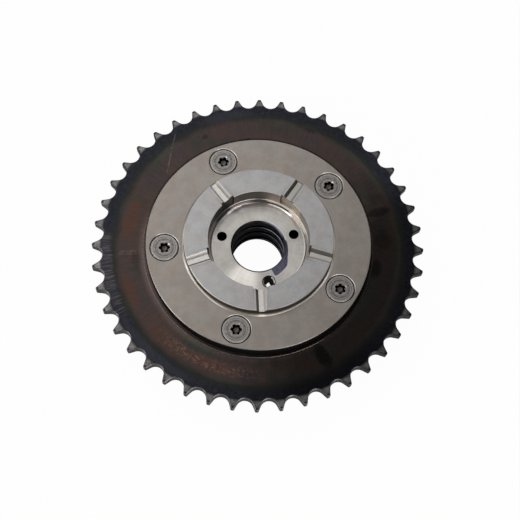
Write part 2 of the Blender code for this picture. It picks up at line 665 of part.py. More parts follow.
def cam_dowel_pin(parent):
    """Slotted spring pin: a C-shaped section along Z."""
    outer = DOWEL_HOLE_RADIUS - GAP
    inner = outer - DOWEL_WALL
    open_outer = math.asin(DOWEL_SLOT / 2 / outer)
    open_inner = math.asin(DOWEL_SLOT / 2 / inner)
    section = arc(outer, open_outer, FULL_TURN - open_outer, SMALL_STEPS)
    section += arc(inner, FULL_TURN - open_inner, open_inner, SMALL_STEPS)
    made = prism("cam_dowel_pin", section, SEAT_FACE - DOWEL_DEPTH + GAP, SEAT_FACE - DOWEL_SUNK,
                 PARTS)
    made.location = out_at(PORT_CIRCLE, DOWEL_ANGLE).translation
    made.rotation_euler.z = DOWEL_SLOT_ANGLE
    return finish(made, SPRING_STEEL, parent)


def seal_bar(name, mouth_radius, inward, angle, parent=None):
    length = CHAMBER_HEIGHT - 2 * GAP
    made = block(name, (SEAL_DEPTH, SEAL_WIDTH, length), (0, 0, 0), PARTS)
    bevel = made.modifiers.new("eased_edges", "BEVEL")
    bevel.width = SEAL_BEVEL
    bevel.segments = 1
    middle = mouth_radius + inward * SEAL_DEPTH / 2
    x, y = polar(middle, angle)
    made.location = (x, y, (HOUSING_LOW + HOUSING_HIGH) / 2)
    made.rotation_euler.z = angle
    return finish(made, SEAL, parent)


def leaf_spring(name, mouth_radius, inward, angle, parent=None):
    """Bowed strip behind a seal: its middle presses the seal, its ends the groove's floor."""
    length = CHAMBER_HEIGHT - 2 * LEAF_MARGIN
    mesh = bpy.data.meshes.new(name)
    cage = bmesh.new()
    bmesh.ops.create_grid(cage, x_segments=1, y_segments=LEAF_PIECES, size=0.5)
    for corner in cage.verts:
        along = corner.co.y * 2
        bow = LEAF_BOW * (1 - along * along)
        corner.co = Vector((-inward * bow, corner.co.x * SEAL_WIDTH, along * length / 2))
    bmesh.ops.recalc_face_normals(cage, faces=cage.faces)
    cage.to_mesh(mesh)
    cage.free()
    made = new_object(name, mesh, PARTS)
    wall = made.modifiers.new("thickness", "SOLIDIFY")
    wall.thickness = LEAF_THICKNESS
    wall.offset = 0
    floor = mouth_radius + inward * SEAL_GROOVE
    x, y = polar(floor - inward * (GAP + LEAF_THICKNESS / 2), angle)
    made.location = (x, y, (HOUSING_LOW + HOUSING_HIGH) / 2)
    made.rotation_euler.z = angle
    return finish(made, SPRING_STEEL, parent)


def seals(rotor_axis):
    for k in range(LOBE_COUNT):
        seal_bar("web_seal_%d" % (k + 1), WEB_TIP_RADIUS, 1, WEB_SEAL_ANGLES[k])
        leaf_spring("web_seal_spring_%d" % (k + 1), WEB_TIP_RADIUS, 1, WEB_SEAL_ANGLES[k])
        seal_bar("vane_seal_%d" % (k + 1), VANE_TIP_RADIUS, -1, VANE_SEAL_ANGLES[k], rotor_axis)
        leaf_spring("vane_seal_spring_%d" % (k + 1), VANE_TIP_RADIUS, -1, VANE_SEAL_ANGLES[k],
                    rotor_axis)


def lock_pin_set(rotor_axis):
    """Cap, hollow pin and coil spring in the wide vane, all about the pin's own axis."""
    x, y = polar(PIN_CIRCLE, VANE_ANGLES[0])
    pin_axis = axis_empty("lock_pin_axis", (x, y, 0), rotor_axis)
    cap_high = HOUSING_HIGH - GAP
    cap_low = cap_high - CAP_THICKNESS
    cap = turned("lock_pin_cap", [
        (CAP_HOLE_RADIUS, cap_high), (PIN_RADIUS, cap_high), (PIN_RADIUS, cap_low),
        (CAP_HOLE_RADIUS, cap_low)], SMALL_STEPS)
    finish(cap, HARD_STEEL, pin_axis)
    pin_low = HOUSING_LOW
    pin_high = cap_low - GAP - PIN_TRAVEL
    hollow = PIN_RADIUS - PIN_WALL
    pin = turned("lock_pin", [
        (hollow, pin_high), (PIN_RADIUS, pin_high), (PIN_RADIUS, pin_low + PIN_NOSE),
        (PIN_RADIUS - PIN_NOSE_TAPER, pin_low + PIN_NOSE_TAPER),
        (PIN_RADIUS - 2 * PIN_NOSE_TAPER, pin_low), (CAP_HOLE_RADIUS, pin_low),
        (CAP_HOLE_RADIUS, pin_low + PIN_NOSE), (hollow, pin_low + PIN_NOSE)], SMALL_STEPS)
    finish(pin, HARD_STEEL, pin_axis)
    coil_radius = hollow - GAP - SPRING_WIRE
    low = pin_low + PIN_NOSE + GAP + SPRING_WIRE
    high = cap_low - GAP - SPRING_WIRE
    count = SPRING_TURNS * SPRING_POINTS_PER_TURN
    curve = bpy.data.curves.new("lock_spring", "CURVE")
    curve.dimensions = "3D"
    curve.bevel_depth = SPRING_WIRE
    curve.bevel_resolution = 1
    curve.use_fill_caps = True
    spline = curve.splines.new("POLY")
    spline.points.add(count)
    for k, point in enumerate(spline.points):
        cx, cy = polar(coil_radius, FULL_TURN * k / SPRING_POINTS_PER_TURN)
        point.co = (cx, cy, low + (high - low) * k / count, 1)
    holder = bpy.data.objects.new("lock_spring", curve)
    PARTS.objects.link(holder)
    mesh = evaluated_mesh(holder)
    bpy.data.objects.remove(holder, do_unlink=True)
    cage = bmesh.new()
    cage.from_mesh(mesh)
    bmesh.ops.remove_doubles(cage, verts=cage.verts, dist=WELD)
    cage.to_mesh(mesh)
    cage.free()
    finish(new_object("lock_spring", mesh, PARTS), SPRING_STEEL, pin_axis)


def build():
    rotor_axis = axis_empty("rotor_axis")
    front_plate()
    lock_bush()
    sprocket_housing()
    cam_side_cover()
    cover_screws()
    rotor(rotor_axis)
    cam_dowel_pin(rotor_axis)
    seals(rotor_axis)
    lock_pin_set(rotor_axis)


build()
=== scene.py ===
import math

import bmesh
import bpy
import numpy as np
from mathutils import Matrix, Vector


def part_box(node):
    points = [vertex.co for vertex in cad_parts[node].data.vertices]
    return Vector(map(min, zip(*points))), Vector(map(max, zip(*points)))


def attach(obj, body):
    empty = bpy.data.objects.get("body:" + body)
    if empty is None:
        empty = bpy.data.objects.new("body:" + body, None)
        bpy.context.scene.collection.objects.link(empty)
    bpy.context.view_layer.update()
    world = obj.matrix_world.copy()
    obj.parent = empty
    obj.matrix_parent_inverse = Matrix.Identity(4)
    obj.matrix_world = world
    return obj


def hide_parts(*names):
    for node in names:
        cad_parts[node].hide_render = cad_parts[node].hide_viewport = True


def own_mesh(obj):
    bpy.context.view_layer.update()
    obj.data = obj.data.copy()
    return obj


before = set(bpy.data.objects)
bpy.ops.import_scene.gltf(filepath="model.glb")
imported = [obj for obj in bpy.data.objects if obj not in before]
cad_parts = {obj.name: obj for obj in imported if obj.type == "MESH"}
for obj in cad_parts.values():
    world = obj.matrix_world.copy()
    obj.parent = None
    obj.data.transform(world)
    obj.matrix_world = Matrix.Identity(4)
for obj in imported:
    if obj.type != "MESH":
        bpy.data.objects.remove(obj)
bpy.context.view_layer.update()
mm = 0.001
fullTurn = 2 * math.pi
overrun = 1.0                   # mm that a cutter runs past the face it opens
guard = 0.15                    # mm from a crease to the row that keeps its face flat
# points of a fillet, as shares of its radius back from the corner along each of its sides
filletSteps = [(1 - math.sin(lean), 1 - math.cos(lean))
               for lean in np.linspace(0, math.pi / 2, 5)]
print("frame: packed phaser loaded")

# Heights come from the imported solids, in mm above the far plate's outer face
housingLow, sprocketFront = (corner.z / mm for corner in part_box("sprocket_housing"))
coverLow, coverTop = (corner.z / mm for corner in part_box("cam_side_cover"))
hubLow, ringFace = (corner.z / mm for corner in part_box("rotor"))
plateLow, plateTop = (corner.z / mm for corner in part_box("front_plate"))
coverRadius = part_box("cam_side_cover")[1].x / mm
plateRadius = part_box("front_plate")[1].x / mm

# What several pieces share: five lobes, with one screw, slot, web and vane in each
lobes = {
    "count": 5,
    "firstScrew": -26.9,        # degrees
    "slotFromScrew": 15.4,
    "vaneFromSlot": 8.1,
    "screwCircle": 38.1,
    "screwHole": 3.3,
    "lockPinCircle": 35.4,
    "chamberRadius": 41.6,
    "chamberTop": 20.75,
    "coreRadius": 33.0,
    "gap": 0.3,
}
lobePitch = 360 / lobes["count"]
screwAngles = [lobes["firstScrew"] + k * lobePitch for k in range(lobes["count"])]
slotAngles = [angle + lobes["slotFromScrew"] for angle in screwAngles]


def onCircle(radius, degrees):
    angle = math.radians(degrees)
    return radius * math.cos(angle), radius * math.sin(angle)


screwPlaces = [onCircle(lobes["screwCircle"], angle) for angle in screwAngles]
lockPinPlace = onCircle(lobes["lockPinCircle"], slotAngles[0] + lobes["vaneFromSlot"])


def tone(red, green, blue):
    # a colour as a screen shows it, 0 to 255, made linear
    screen = np.array([red, green, blue]) / 255
    linear = np.where(screen <= 0.04045, screen / 12.92, ((screen + 0.055) / 1.055) ** 2.4)
    return (*linear.tolist(), 1.0)


sprocket = {
    "teeth": 44,
    "chainPitch": 9.525,
    "tipAbovePitch": 1.24,
    "rootBelowPitch": 3.19,
    "seatRadius": 3.47,
    "seatPoints": 13,
    "tipWidth": 1.2,
    "tipCorner": 0.22,
    "firstTip": 4.11,           # degrees
    "rimThickness": 4.6,
    "tipThickness": 3.0,
    "backBevel": 0.1,           # the back's bevel falls this much of the front's
    "bevelStart": 64.0,
    "edge": 0.36,
    "creaseGuard": 0.3,
    "creaseInside": 0.02,       # mm that the crease keeps inside the deepest roller seats
    "coverSeat": 46.72,
    "seatChamfer": 0.4,
    "barrelRadius": 48.0,
    "barrelFillet": 1.5,
    "barrelChamfer": 0.8,
    "webHalf": 12.0,
    "webTip": 33.3,
}

# Materials


class Wire:
    # one socket of a material; an operator between wires or numbers adds a Math node
    def __init__(self, tree, socket):
        self.tree = tree
        self.socket = socket

    def make(self, kind, settings, sockets, out=0):
        # settings go on first, then the sockets get their values or wires
        added = self.tree.nodes.new(kind)
        for key, value in settings.items():
            setattr(added, key, value)
        for key, value in sockets.items():
            if isinstance(value, Wire):
                self.tree.links.new(value.socket, added.inputs[key])
            else:
                added.inputs[key].default_value = value
        return Wire(self.tree, added.outputs[out]) if len(added.outputs) else None

    def calc(self, operation, first, second=0.0, third=0.0):
        return self.make("ShaderNodeMath", {"operation": operation},
                         {0: first, 1: second, 2: third})

    def __add__(self, other):
        return self.calc("ADD", self, other)

    def __radd__(self, other):
        return self.calc("ADD", other, self)

    def __sub__(self, other):
        return self.calc("SUBTRACT", self, other)

    def __rsub__(self, other):
        return self.calc("SUBTRACT", other, self)

    def __mul__(self, other):
        return self.calc("MULTIPLY", self, other)

    def __rmul__(self, other):
        return self.calc("MULTIPLY", other, self)

    def absolute(self):
        return self.calc("ABSOLUTE", self)

    def wrapped(self, half):
        # brought into the range from -half to half
        return self.calc("WRAP", self, half, -half)

    def hypot(self, other):
        return self.calc("SQRT", self * self + other * other)

    def vector(self, operation, *others, out=0):
        # this wire and the others, each a wire or three numbers, through a Vector Math node
        return self.make("ShaderNodeVectorMath", {"operation": operation},
                         dict(enumerate((self, *others))), out)

    def rise(self, low, high):
        # 0 below low, 1 above high, an S-curve between
        return self.make("ShaderNodeMapRange", {"interpolation_type": "SMOOTHSTEP"},
                         {0: self, 1: low, 2: high, 3: 0.0, 4: 1.0})

    def blend(self, first, second):
        # first colour where this wire is 0, second where it is 1; each is a wire, or else red,
        # green and blue as a screen shows them
        first, second = (shade if isinstance(shade, Wire) else tone(*shade)
                         for shade in (first, second))
        return self.make("ShaderNodeMix", {"data_type": "RGBA"}, {0: self, 6: first, 7: second}, 2)


class Finish:
    # a material, the places on its piece in mm, and what they are worked out from
    def __init__(self, name, metallic, roughness, anisotropic=0.0, centre=(0, 0)):
        self.material = bpy.data.materials.new(name)
        self.material.use_nodes = True
        self.tree = self.material.node_tree
        self.shader = self.tree.nodes["Principled BSDF"]
        for key, value in (("Metallic", metallic), ("Roughness", roughness),
                           ("Anisotropic", anisotropic)):
            self.shader.inputs[key].default_value = value
        start = Wire(self.tree, self.tree.nodes.new("ShaderNodeTexCoord").outputs["Object"])
        self.place = start.vector("MULTIPLY_ADD", (1 / mm,) * 3, (-centre[0], -centre[1], 0))
        self.x, self.y, self.z = (
            start.make("ShaderNodeSeparateXYZ", {}, {0: self.place}, axis) for axis in range(3))
        self.flat = start.make("ShaderNodeCombineXYZ", {}, {0: self.x, 1: self.y})
        self.radius = self.x.hypot(self.y)
        self.angle = start.calc("ARCTAN2", self.y, self.x)

    def texture(self, vector, scale, detail, roughness):
        return self.place.make("ShaderNodeTexNoise", {}, {
            "Vector": vector, "Scale": scale, "Detail": detail, "Roughness": roughness})

    def noise(self, size, detail=3.0, roughness=0.55, lift=0.0):
        # cloudy pattern, 0 to 1, whose spots are about size mm across
        return self.texture(self.place.vector("ADD", (lift,) * 3), 1 / size, detail, roughness)

    def rings(self, pitch, detail=2.0):
        # lathe marks: rings about Z, uneven from ring to ring
        along = self.place.make("ShaderNodeCombineXYZ", {}, {0: self.radius, 2: self.z})
        return self.texture(along, 1 / pitch, detail, 0.6)

    def rays(self, width, length):
        # streaks that run outwards: noise on the direction from the axis, drawn out along it
        wide = self.scaled(self.flat.vector("NORMALIZE"), sprocket["bevelStart"] / width)
        along = self.place.make("ShaderNodeCombineXYZ", {}, {2: self.radius * (1 / length)})
        return self.texture(wide.vector("ADD", along), 1.0, 2.0, 0.6)

    def awayFrom(self, middle):
        # unsigned angle to middle, which is in degrees, in radians
        return (self.angle - math.radians(middle)).wrapped(math.pi).absolute()

    def sector(self, middle, half, soft, sway=0.0):
        # 1 where the angle about Z is within half of middle, all in degrees
        off = self.awayFrom(middle) + sway
        return 1 - off.rise(math.radians(half), math.radians(half + soft))

    def spot(self, angle, radius, halfTurn, halfWidth, ragged):
        # 1 inside a patch that spans so many degrees and mm each way, with a ragged soft rim
        aside = self.awayFrom(angle) * (1 / math.radians(halfTurn))
        outward = (self.radius - radius) * (1 / halfWidth)
        return 1 - (aside * aside + outward * outward + ragged).rise(0.2, 1.3)

    def ringBand(self, low, high, soft):
        # 1 between two radii, falling to 0 over soft on both sides
        return self.radius.rise(low - soft, low) * (1 - self.radius.rise(high, high + soft))

    def stroke(self, start, end, width):
        # 1 along a scratch from start to end, each a radius and an angle in degrees
        first, last = (Vector(onCircle(radius, angle)) for radius, angle in (start, end))
        way = (last - first).normalized()
        length = (last - first).length
        along = (self.x - first.x) * way.x + (self.y - first.y) * way.y
        across = ((self.x - first.x) * -way.y + (self.y - first.y) * way.x).absolute()
        inLength = along.rise(0, width) * (1 - along.rise(length - width * 2, length))
        return inLength * (1 - across.rise(width * 0.25, width))

    def scaled(self, colour, amount):
        # colour times a number that varies over the surface
        return self.place.make("ShaderNodeVectorMath", {"operation": "SCALE"},
                               {0: colour, "Scale": amount})

    def sectors(self, colour, patches, sway=0.0):
        # the colour with patches round its turn: middle, half and soft end in degrees, colour
        for middle, half, soft, shade in patches:
            colour = self.sector(middle, half, soft, sway).blend(colour, shade)
        return colour

    def paint(self, colour, roughness=None, height=None, depth=0.02):
        for key, wire in (("Base Color", colour), ("Roughness", roughness)):
            if wire is not None:
                self.tree.links.new(wire.socket, self.shader.inputs[key])
        if height is not None:
            bump = self.place.make("ShaderNodeBump", {},
                                   {"Height": height, "Distance": depth * mm, "Strength": 1.0})
            self.tree.links.new(bump.socket, self.shader.inputs["Normal"])
        return self.material


oxide = {
    "mauve": (54, 47, 47),
    "brown": (58, 48, 45),
    "greenGrey": (49, 47, 44),
    "tempered": (35, 36, 34),
    "moss": (52, 55, 48),
    "blueBlack": (29, 30, 34),
    "violet": (38, 38, 45),
    "rust": (66, 46, 38),
    "tan": (92, 74, 63),
    "fleck": (126, 101, 91),
    "haze": (48, 48, 55),
    "scratch": (118, 110, 106),
    # radii between which each change is made
    "temperBand": (56.0, 59.6),
    "blueBand": (58.8, 61.8),
    "shadedHueBand": (57.0, 61.0),
    "hatchBand": (58.6, 61.0),
    "fleckBand": (52.6, 54.4, 2.4),
    "contactShadeBand": (46.55, 47.0),
    "paintedLightBand": (46.9, 49.6),
    "outerBand": (55.5, 58.5),
    "contactShadeOffset": 2.2,          # mm that the painted contact shadow's middle lies behind the axis
    # sectors: middle, half and soft end, in degrees
    "hatched": (197, 12, 9),
    "flecked": (252, 15, 12),
    "shaded": (333, 38, 40),
    "paintedLight": (252, 66, 26),
    "lighter": (4, 30, 24),
    # patches: angle in degrees, radius, half angle, half width, and how strong they are
    "stains": ((303.5, 52.6, 3.2, 6.0, 0.6), (22, 52.0, 2.4, 5.5, 0.45), (8, 51.2, 6, 4.0, 0.3),
               (353.5, 48.8, 5, 2.6, 0.5), (72, 57.4, 3, 1.1, 0.3), (119, 54.2, 1.6, 1.2, 0.3),
               (192, 50.2, 5, 2.2, 0.2), (100, 48.8, 2, 0.9, 0.3)),
    "rusty": ((172, 53.6, 11, 3.6, 0.7), (206, 55.4, 9, 2.8, 0.6), (233, 54.6, 12, 3.6, 0.5),
              (296, 53.4, 5, 2.2, 0.6), (12, 54.8, 4, 1.6, 0.4), (252, 53.2, 15, 2.6, 0.6)),
    "mossy": ((52, 57.3, 19, 1.3, 0.35), (86, 57.8, 9, 1.1, 0.4), (238, 48.2, 15, 1.2, 0.5),
              (340, 48.7, 15, 2.2, 0.8), (30, 49.2, 9, 2.6, 0.5), (4, 57.0, 16, 1.6, 0.4),
              (262, 57.4, 12, 1.4, 0.4), (138, 57.2, 8, 1.6, 0.5)),
    "hazy": ((195, 61.8, 15, 2.6, 0.45), (108, 61.0, 12, 2.6, 0.45), (232, 62.0, 22, 2.2, 0.5),
             (169.5, 57.9, 2.2, 1.3, 0.5)),
    # from and to, each a radius and an angle, then width, colour and strength
    "scratches": (((50.0, 144.2), (56.2, 135.2), 0.42, "scratch", 0.24),
                  ((56.8, 134.6), (61.6, 129.2), 0.34, "scratch", 0.2),
                  ((49.4, 187.6), (56.6, 187.4), 0.5, "tan", 0.5),
                  ((49.4, 188.8), (57.6, 188.5), 0.55, "tan", 0.4),
                  ((49.2, 187.8), (49.9, 187.8), 0.5, "scratch", 0.4)),
}


def oxideFace(name):
    skin = Finish(name, 1.0, 0.36)
    cloud = skin.noise(8.0, 3.0)
    tint = skin.noise(10.0, 3.0, lift=20)
    mottle = skin.noise(1.5, 3.0, 0.6, lift=40)
    grain = skin.noise(0.45, 2.0)
    streak = skin.rays(0.9, 9.0)
    ragged = (cloud + mottle) * 0.9 - 0.9

    def spotted(colour, patches, shade):
        for *where, strength in oxide[patches]:
            colour = (skin.spot(*where, ragged) * strength).blend(colour, oxide[shade])
        return colour

    colour = cloud.rise(0.35, 0.6).blend(oxide["mauve"], oxide["brown"])
    colour = tint.rise(0.5, 0.7).blend(colour, oxide["greenGrey"])
    colour = spotted(colour, "rusty", "rust")
    swayed = skin.radius + (cloud - 0.5) * 4 + (mottle - 0.5) * 2 + (streak - 0.5) * 1.5
    band = swayed.rise(*oxide["shadedHueBand"])
    colour = swayed.rise(*oxide["temperBand"]).blend(colour, oxide["tempered"])
    blue = (mottle * 0.6 + grain * 0.4).rise(0.4, 0.65).blend(oxide["blueBlack"], oxide["violet"])
    colour = swayed.rise(*oxide["blueBand"]).blend(colour, blue)
    colour = spotted(spotted(colour, "mossy", "moss"), "hazy", "haze")
    hatch = skin.rays(0.42, 8.0).rise(0.47, 0.68) * skin.sector(*oxide["hatched"], ragged * 0.2)
    hatch = hatch * (skin.radius + ragged * 2).rise(*oxide["hatchBand"])
    colour = (hatch * 0.3).blend(colour, oxide["scratch"])
    fleck = skin.noise(0.9, 5.0, 0.75, lift=70).rise(0.44, 0.7) * skin.sector(*oxide["flecked"])
    fleck = fleck * skin.ringBand(*oxide["fleckBand"])
    colour = (fleck * 0.42).blend(colour, oxide["fleck"])
    for start, end, width, shade, strength in oxide["scratches"]:
        line = skin.stroke(start, end, width) * mottle.rise(0.3, 0.6)
        colour = (line * strength).blend(colour, oxide[shade])
    # painted shade: darker over the side about 333°, away from the light
    shade = 1 - skin.sector(*oxide["shaded"], (cloud - 0.5) * 0.5) * 0.62
    # a painted contact shadow: a dark line close to the cover on the far side
    contactShade = 1 - skin.x.hypot(skin.y - oxide["contactShadeOffset"]).rise(*oxide["contactShadeBand"])
    shade = shade * (1 - contactShade * 0.5)
    # painted light: the band beside the cover's near side is brightened where the cover's shadow
    # falls
    beside = skin.sector(*oxide["paintedLight"]) * (1 - skin.radius.rise(*oxide["paintedLightBand"]))
    shade = shade * (1 + beside * 0.9)
    # the painted shade eases towards the rim about 4°
    outer = skin.sector(*oxide["lighter"]) * skin.radius.rise(*oxide["outerBand"])
    shade = shade * (1 + outer * 0.5)
    for *where, strength in oxide["stains"]:
        shade = shade * (1 - skin.spot(*where, ragged) * strength)
    fine = (grain - 0.5) * 0.5 + (streak - 0.5) * 0.4 + (mottle - 0.5) * 0.5 + 1
    # where the painted shade is deep the colour turns green-grey, blue-black further out
    deepShade = 1 - shade.rise(0.3, 0.75)
    colour = (deepShade * 0.6).blend(colour, band.blend(oxide["greenGrey"], oxide["blueBlack"]))
    colour = skin.scaled(colour, shade * fine)
    return skin.paint(colour, mottle * 0.16 + 0.3, grain * 0.6 + mottle, 0.012)


def toothFace(name):
    # grey inside each tooth and dark along its edges, by the distance from the roller's circle
    skin = Finish(name, 1.0, 0.42)
    cloud = skin.noise(3.0, 3.0)
    grain = skin.noise(0.6, 3.0)
    pitch = fullTurn / sprocket["teeth"]
    fromTip = skin.angle - math.radians(sprocket["firstTip"])
    fromGap = (fromTip - pitch / 2).wrapped(pitch / 2)
    pitchRadius = sprocket["chainPitch"] / 2 / math.sin(pitch / 2)
    centre = pitchRadius - sprocket["rootBelowPitch"] + sprocket["seatRadius"]
    aside = fromGap * skin.radius
    outward = skin.radius - centre
    inner = (aside.hypot(outward) - sprocket["seatRadius"] + (grain - 0.5) * 0.7).rise(0.1, 0.65)
    inner = inner * (1 - skin.radius.rise(66.5, 67.4)) * skin.radius.rise(63.9, 65.3)
    colour = cloud.rise(0.35, 0.65).blend((92, 90, 91), (124, 121, 122))
    colour = inner.blend((38, 37, 38), colour)
    # painted light on the teeth about 200° and painted shade on those about 352°
    shade = 1 + skin.sector(200, 16, 14) * 0.2 - skin.sector(352, 26, 20) * 0.3
    colour = skin.scaled(colour, (grain * 1.5 + 0.3) * shade)
    return skin.paint(colour, cloud * 0.2 + 0.34, grain, 0.02)


def toothEdging(name):
    # the rim's front edge, with a painted highlight in patches where the photograph shows its
    # lower side light
    skin = Finish(name, 1.0, 0.4)
    grain = skin.noise(0.6, 3.0)
    litPatches = skin.sector(238, 44, 50) * grain.rise(0.2, 0.5)
    return skin.paint(litPatches.blend((38, 37, 39), (106, 104, 104)), grain * 0.2 + 0.3)


def toothWall(name):
    skin = Finish(name, 1.0, 0.4)
    grain = skin.noise(0.5, 3.0)
    colour = skin.noise(2.5).blend((16, 16, 18), (34, 33, 35))
    return skin.paint(colour, grain * 0.2 + 0.32, grain, 0.01)


def groundSteel(name, light, dark, roughness, grainDepth=0.006):
    skin = Finish(name, 1.0, roughness)
    cloud = skin.noise(5.0, 4.0)
    mottle = skin.noise(1.1, 3.0)
    grain = skin.noise(0.32, 3.0)
    colour = (cloud * 0.65 + mottle * 0.35).rise(0.36, 0.62).blend(dark, light)
    warm = skin.noise(8.0, 3.0, lift=60).rise(0.38, 0.62)
    colour = warm.blend(colour, colour.vector("MULTIPLY", (1.03, 0.995, 0.975)))
    colour = skin.scaled(colour, grain * 0.36 + 0.82)
    return skin.paint(colour, mottle * 0.12 + (roughness - 0.06), grain + mottle * 0.5, grainDepth)


def turnedSteel(name, light, dark, roughness):
    skin = Finish(name, 1.0, roughness)
    marks = skin.rings(0.35, 3.0)
    cloud = skin.noise(5.0, 3.0)
    colour = (marks * 0.55 + cloud * 0.45).rise(0.3, 0.7).blend(dark, light)
    return skin.paint(colour, marks * 0.1 + (roughness - 0.05), marks, 0.004)


def darkBore(name, light, dark, roughness):
    skin = Finish(name, 1.0, roughness)
    cloud = skin.noise(1.6, 3.0)
    grain = skin.noise(0.3, 2.0)
    return skin.paint(cloud.blend(dark, light), cloud * 0.2 + (roughness - 0.1), grain, 0.008)


def patched(name, plain, patches, metallic=0.3, roughness=0.42, centre=(0, 0)):
    # a small face whose colour changes round its turn
    skin = Finish(name, metallic, roughness, centre=centre)
    grain = skin.noise(0.8, 3.0)
    colour = skin.sectors(plain, patches, (grain - 0.5) * 0.08)
    if metallic == 0:           # an edge painted dark for shade hardly mirrors anything
        skin.shader.inputs["Specular IOR Level"].default_value = 0.1
    return skin.paint(skin.scaled(colour, grain * 0.3 + 0.85), grain * 0.2 + (roughness - 0.1))


def holeRim(name, plain):
    # like the cover, with painted highlights where the light meets it and painted shade on its far
    # side; brown below the ring, on its inner part
    skin = Finish(name, 1.0, 0.4)
    grain = skin.noise(0.32, 3.0)
    near = skin.sector(266, 12, 30)
    pastInner = (skin.radius - near * 0.5).rise(30.58, 30.92)
    beyond = (skin.radius - near * 0.45).rise(31.2, 31.5)
    # painted shade about 90°, painted highlights about 230° and 306°
    lit = skin.sectors(plain, (
        (90, 62, 30, (92, 89, 84)), (230, 22, 18, (232, 222, 214)),
        (267, 12, 12, (160, 152, 142)), (306, 26, 16, (250, 241, 231))))
    colour = beyond.blend(pastInner.blend((196, 182, 164), lit), plain)
    return skin.paint(skin.scaled(colour, grain * 0.36 + 0.82), None, grain, 0.006)


def ringSide(name):
    # painted shade: black below the ring's edge, browner down by the cover
    skin = Finish(name, 0.5, 0.4)
    low = skin.z.rise(coverTop - 0.2, coverTop + 1.0)
    return skin.paint(low.blend((118, 106, 94), (20, 19, 18)))


def recessWall(name):
    # grey-brown in its own shade, beige and green-grey on the side turned to the light
    skin = Finish(name, 0.85, 0.36)
    cloud = skin.noise(2.5, 3.0)
    marks = skin.rings(0.3, 3.0)
    colour = cloud.blend((120, 114, 109), (150, 143, 137))
    colour = skin.sectors(colour, (
        (20, 20, 10, (158, 158, 149)), (48, 5, 7, (228, 215, 196)),
        (62, 5, 3, (200, 195, 189)), (74, 3, 16, (192, 178, 164)),
        (142, 9, 8, (92, 90, 84))), (cloud - 0.5) * 0.15)
    return skin.paint(skin.scaled(colour, marks * 0.4 + 0.8), marks * 0.1 + 0.3)


def seatFace(name, light, dark):
    # turned end face: fine rings, and fans of painted sheen across them, as turning marks give
    # under the light
    skin = Finish(name, 1.0, 0.32, 0.7)
    marks = skin.rings(0.4, 3.0)
    cloud = skin.noise(3.5, 3.0)
    sheen = skin.rays(2.2, 30.0)
    colour = (marks * 0.5 + cloud * 0.5).rise(0.3, 0.7).blend(dark, light)
    # painted sheen: lighter fans about 251°, 62° and 345°, and near the rim about 92°
    fan = skin.sector(251, 11, 20, (cloud - 0.5) * 0.3) * 0.95 + skin.sector(62, 20, 30) * 0.16
    fan = fan + skin.sector(345, 20, 20) * 0.12
    outer = skin.radius.rise(16.6, 18.2)
    fan = fan + skin.sector(92, 25, 10) * skin.radius.rise(16.0, 18.2) * 1.2
    fan = fan + (skin.sector(75, 7, 8) * 0.45 + skin.sector(58, 24, 10) * 0.2) * outer
    # painted shade about 128° and 135°, by the recess's wall
    shade = skin.sector(128, 38, 20) * skin.radius.rise(13.8, 15.6) * 0.1
    shade = shade + skin.sector(135, 14, 10) * outer * 0.12
    colour = skin.scaled(colour, (1 + fan) * (1 - shade) * (sheen * 0.3 + 0.85))
    # a painted highlight: a pale violet rim outside the bore, towards the light
    rim = skin.ringBand(11.4, 11.7, 0.5) * skin.sector(46, 18, 22)
    colour = (rim * 0.45).blend(colour, (176, 173, 184))
    return skin.paint(colour, marks * 0.1 + 0.27, marks, 0.004)


def pocketFace(name):
    # slate grey, mottled, darker towards its upper end and along the bore
    skin = Finish(name, 1.0, 0.42)
    cloud = skin.noise(1.1, 4.0, 0.65)
    colour = cloud.rise(0.3, 0.7).blend((62, 62, 74), (88, 86, 101))
    lower = 1 - skin.angle.rise(math.radians(-40), math.radians(6))
    beside = skin.radius.rise(10.8, 11.8)
    amount = (lower * 0.5 + 0.5) * (beside * 0.35 + 0.65)
    return skin.paint(skin.scaled(colour, amount), cloud * 0.2 + 0.32, cloud, 0.01)


def sealPlastic(name):
    skin = Finish(name, 0.0, 0.55)
    grain = skin.noise(0.2, 2.0)
    colour = skin.noise(1.5).blend((38, 35, 32), (56, 52, 48))
    return skin.paint(colour, grain * 0.2 + 0.45, grain, 0.006)


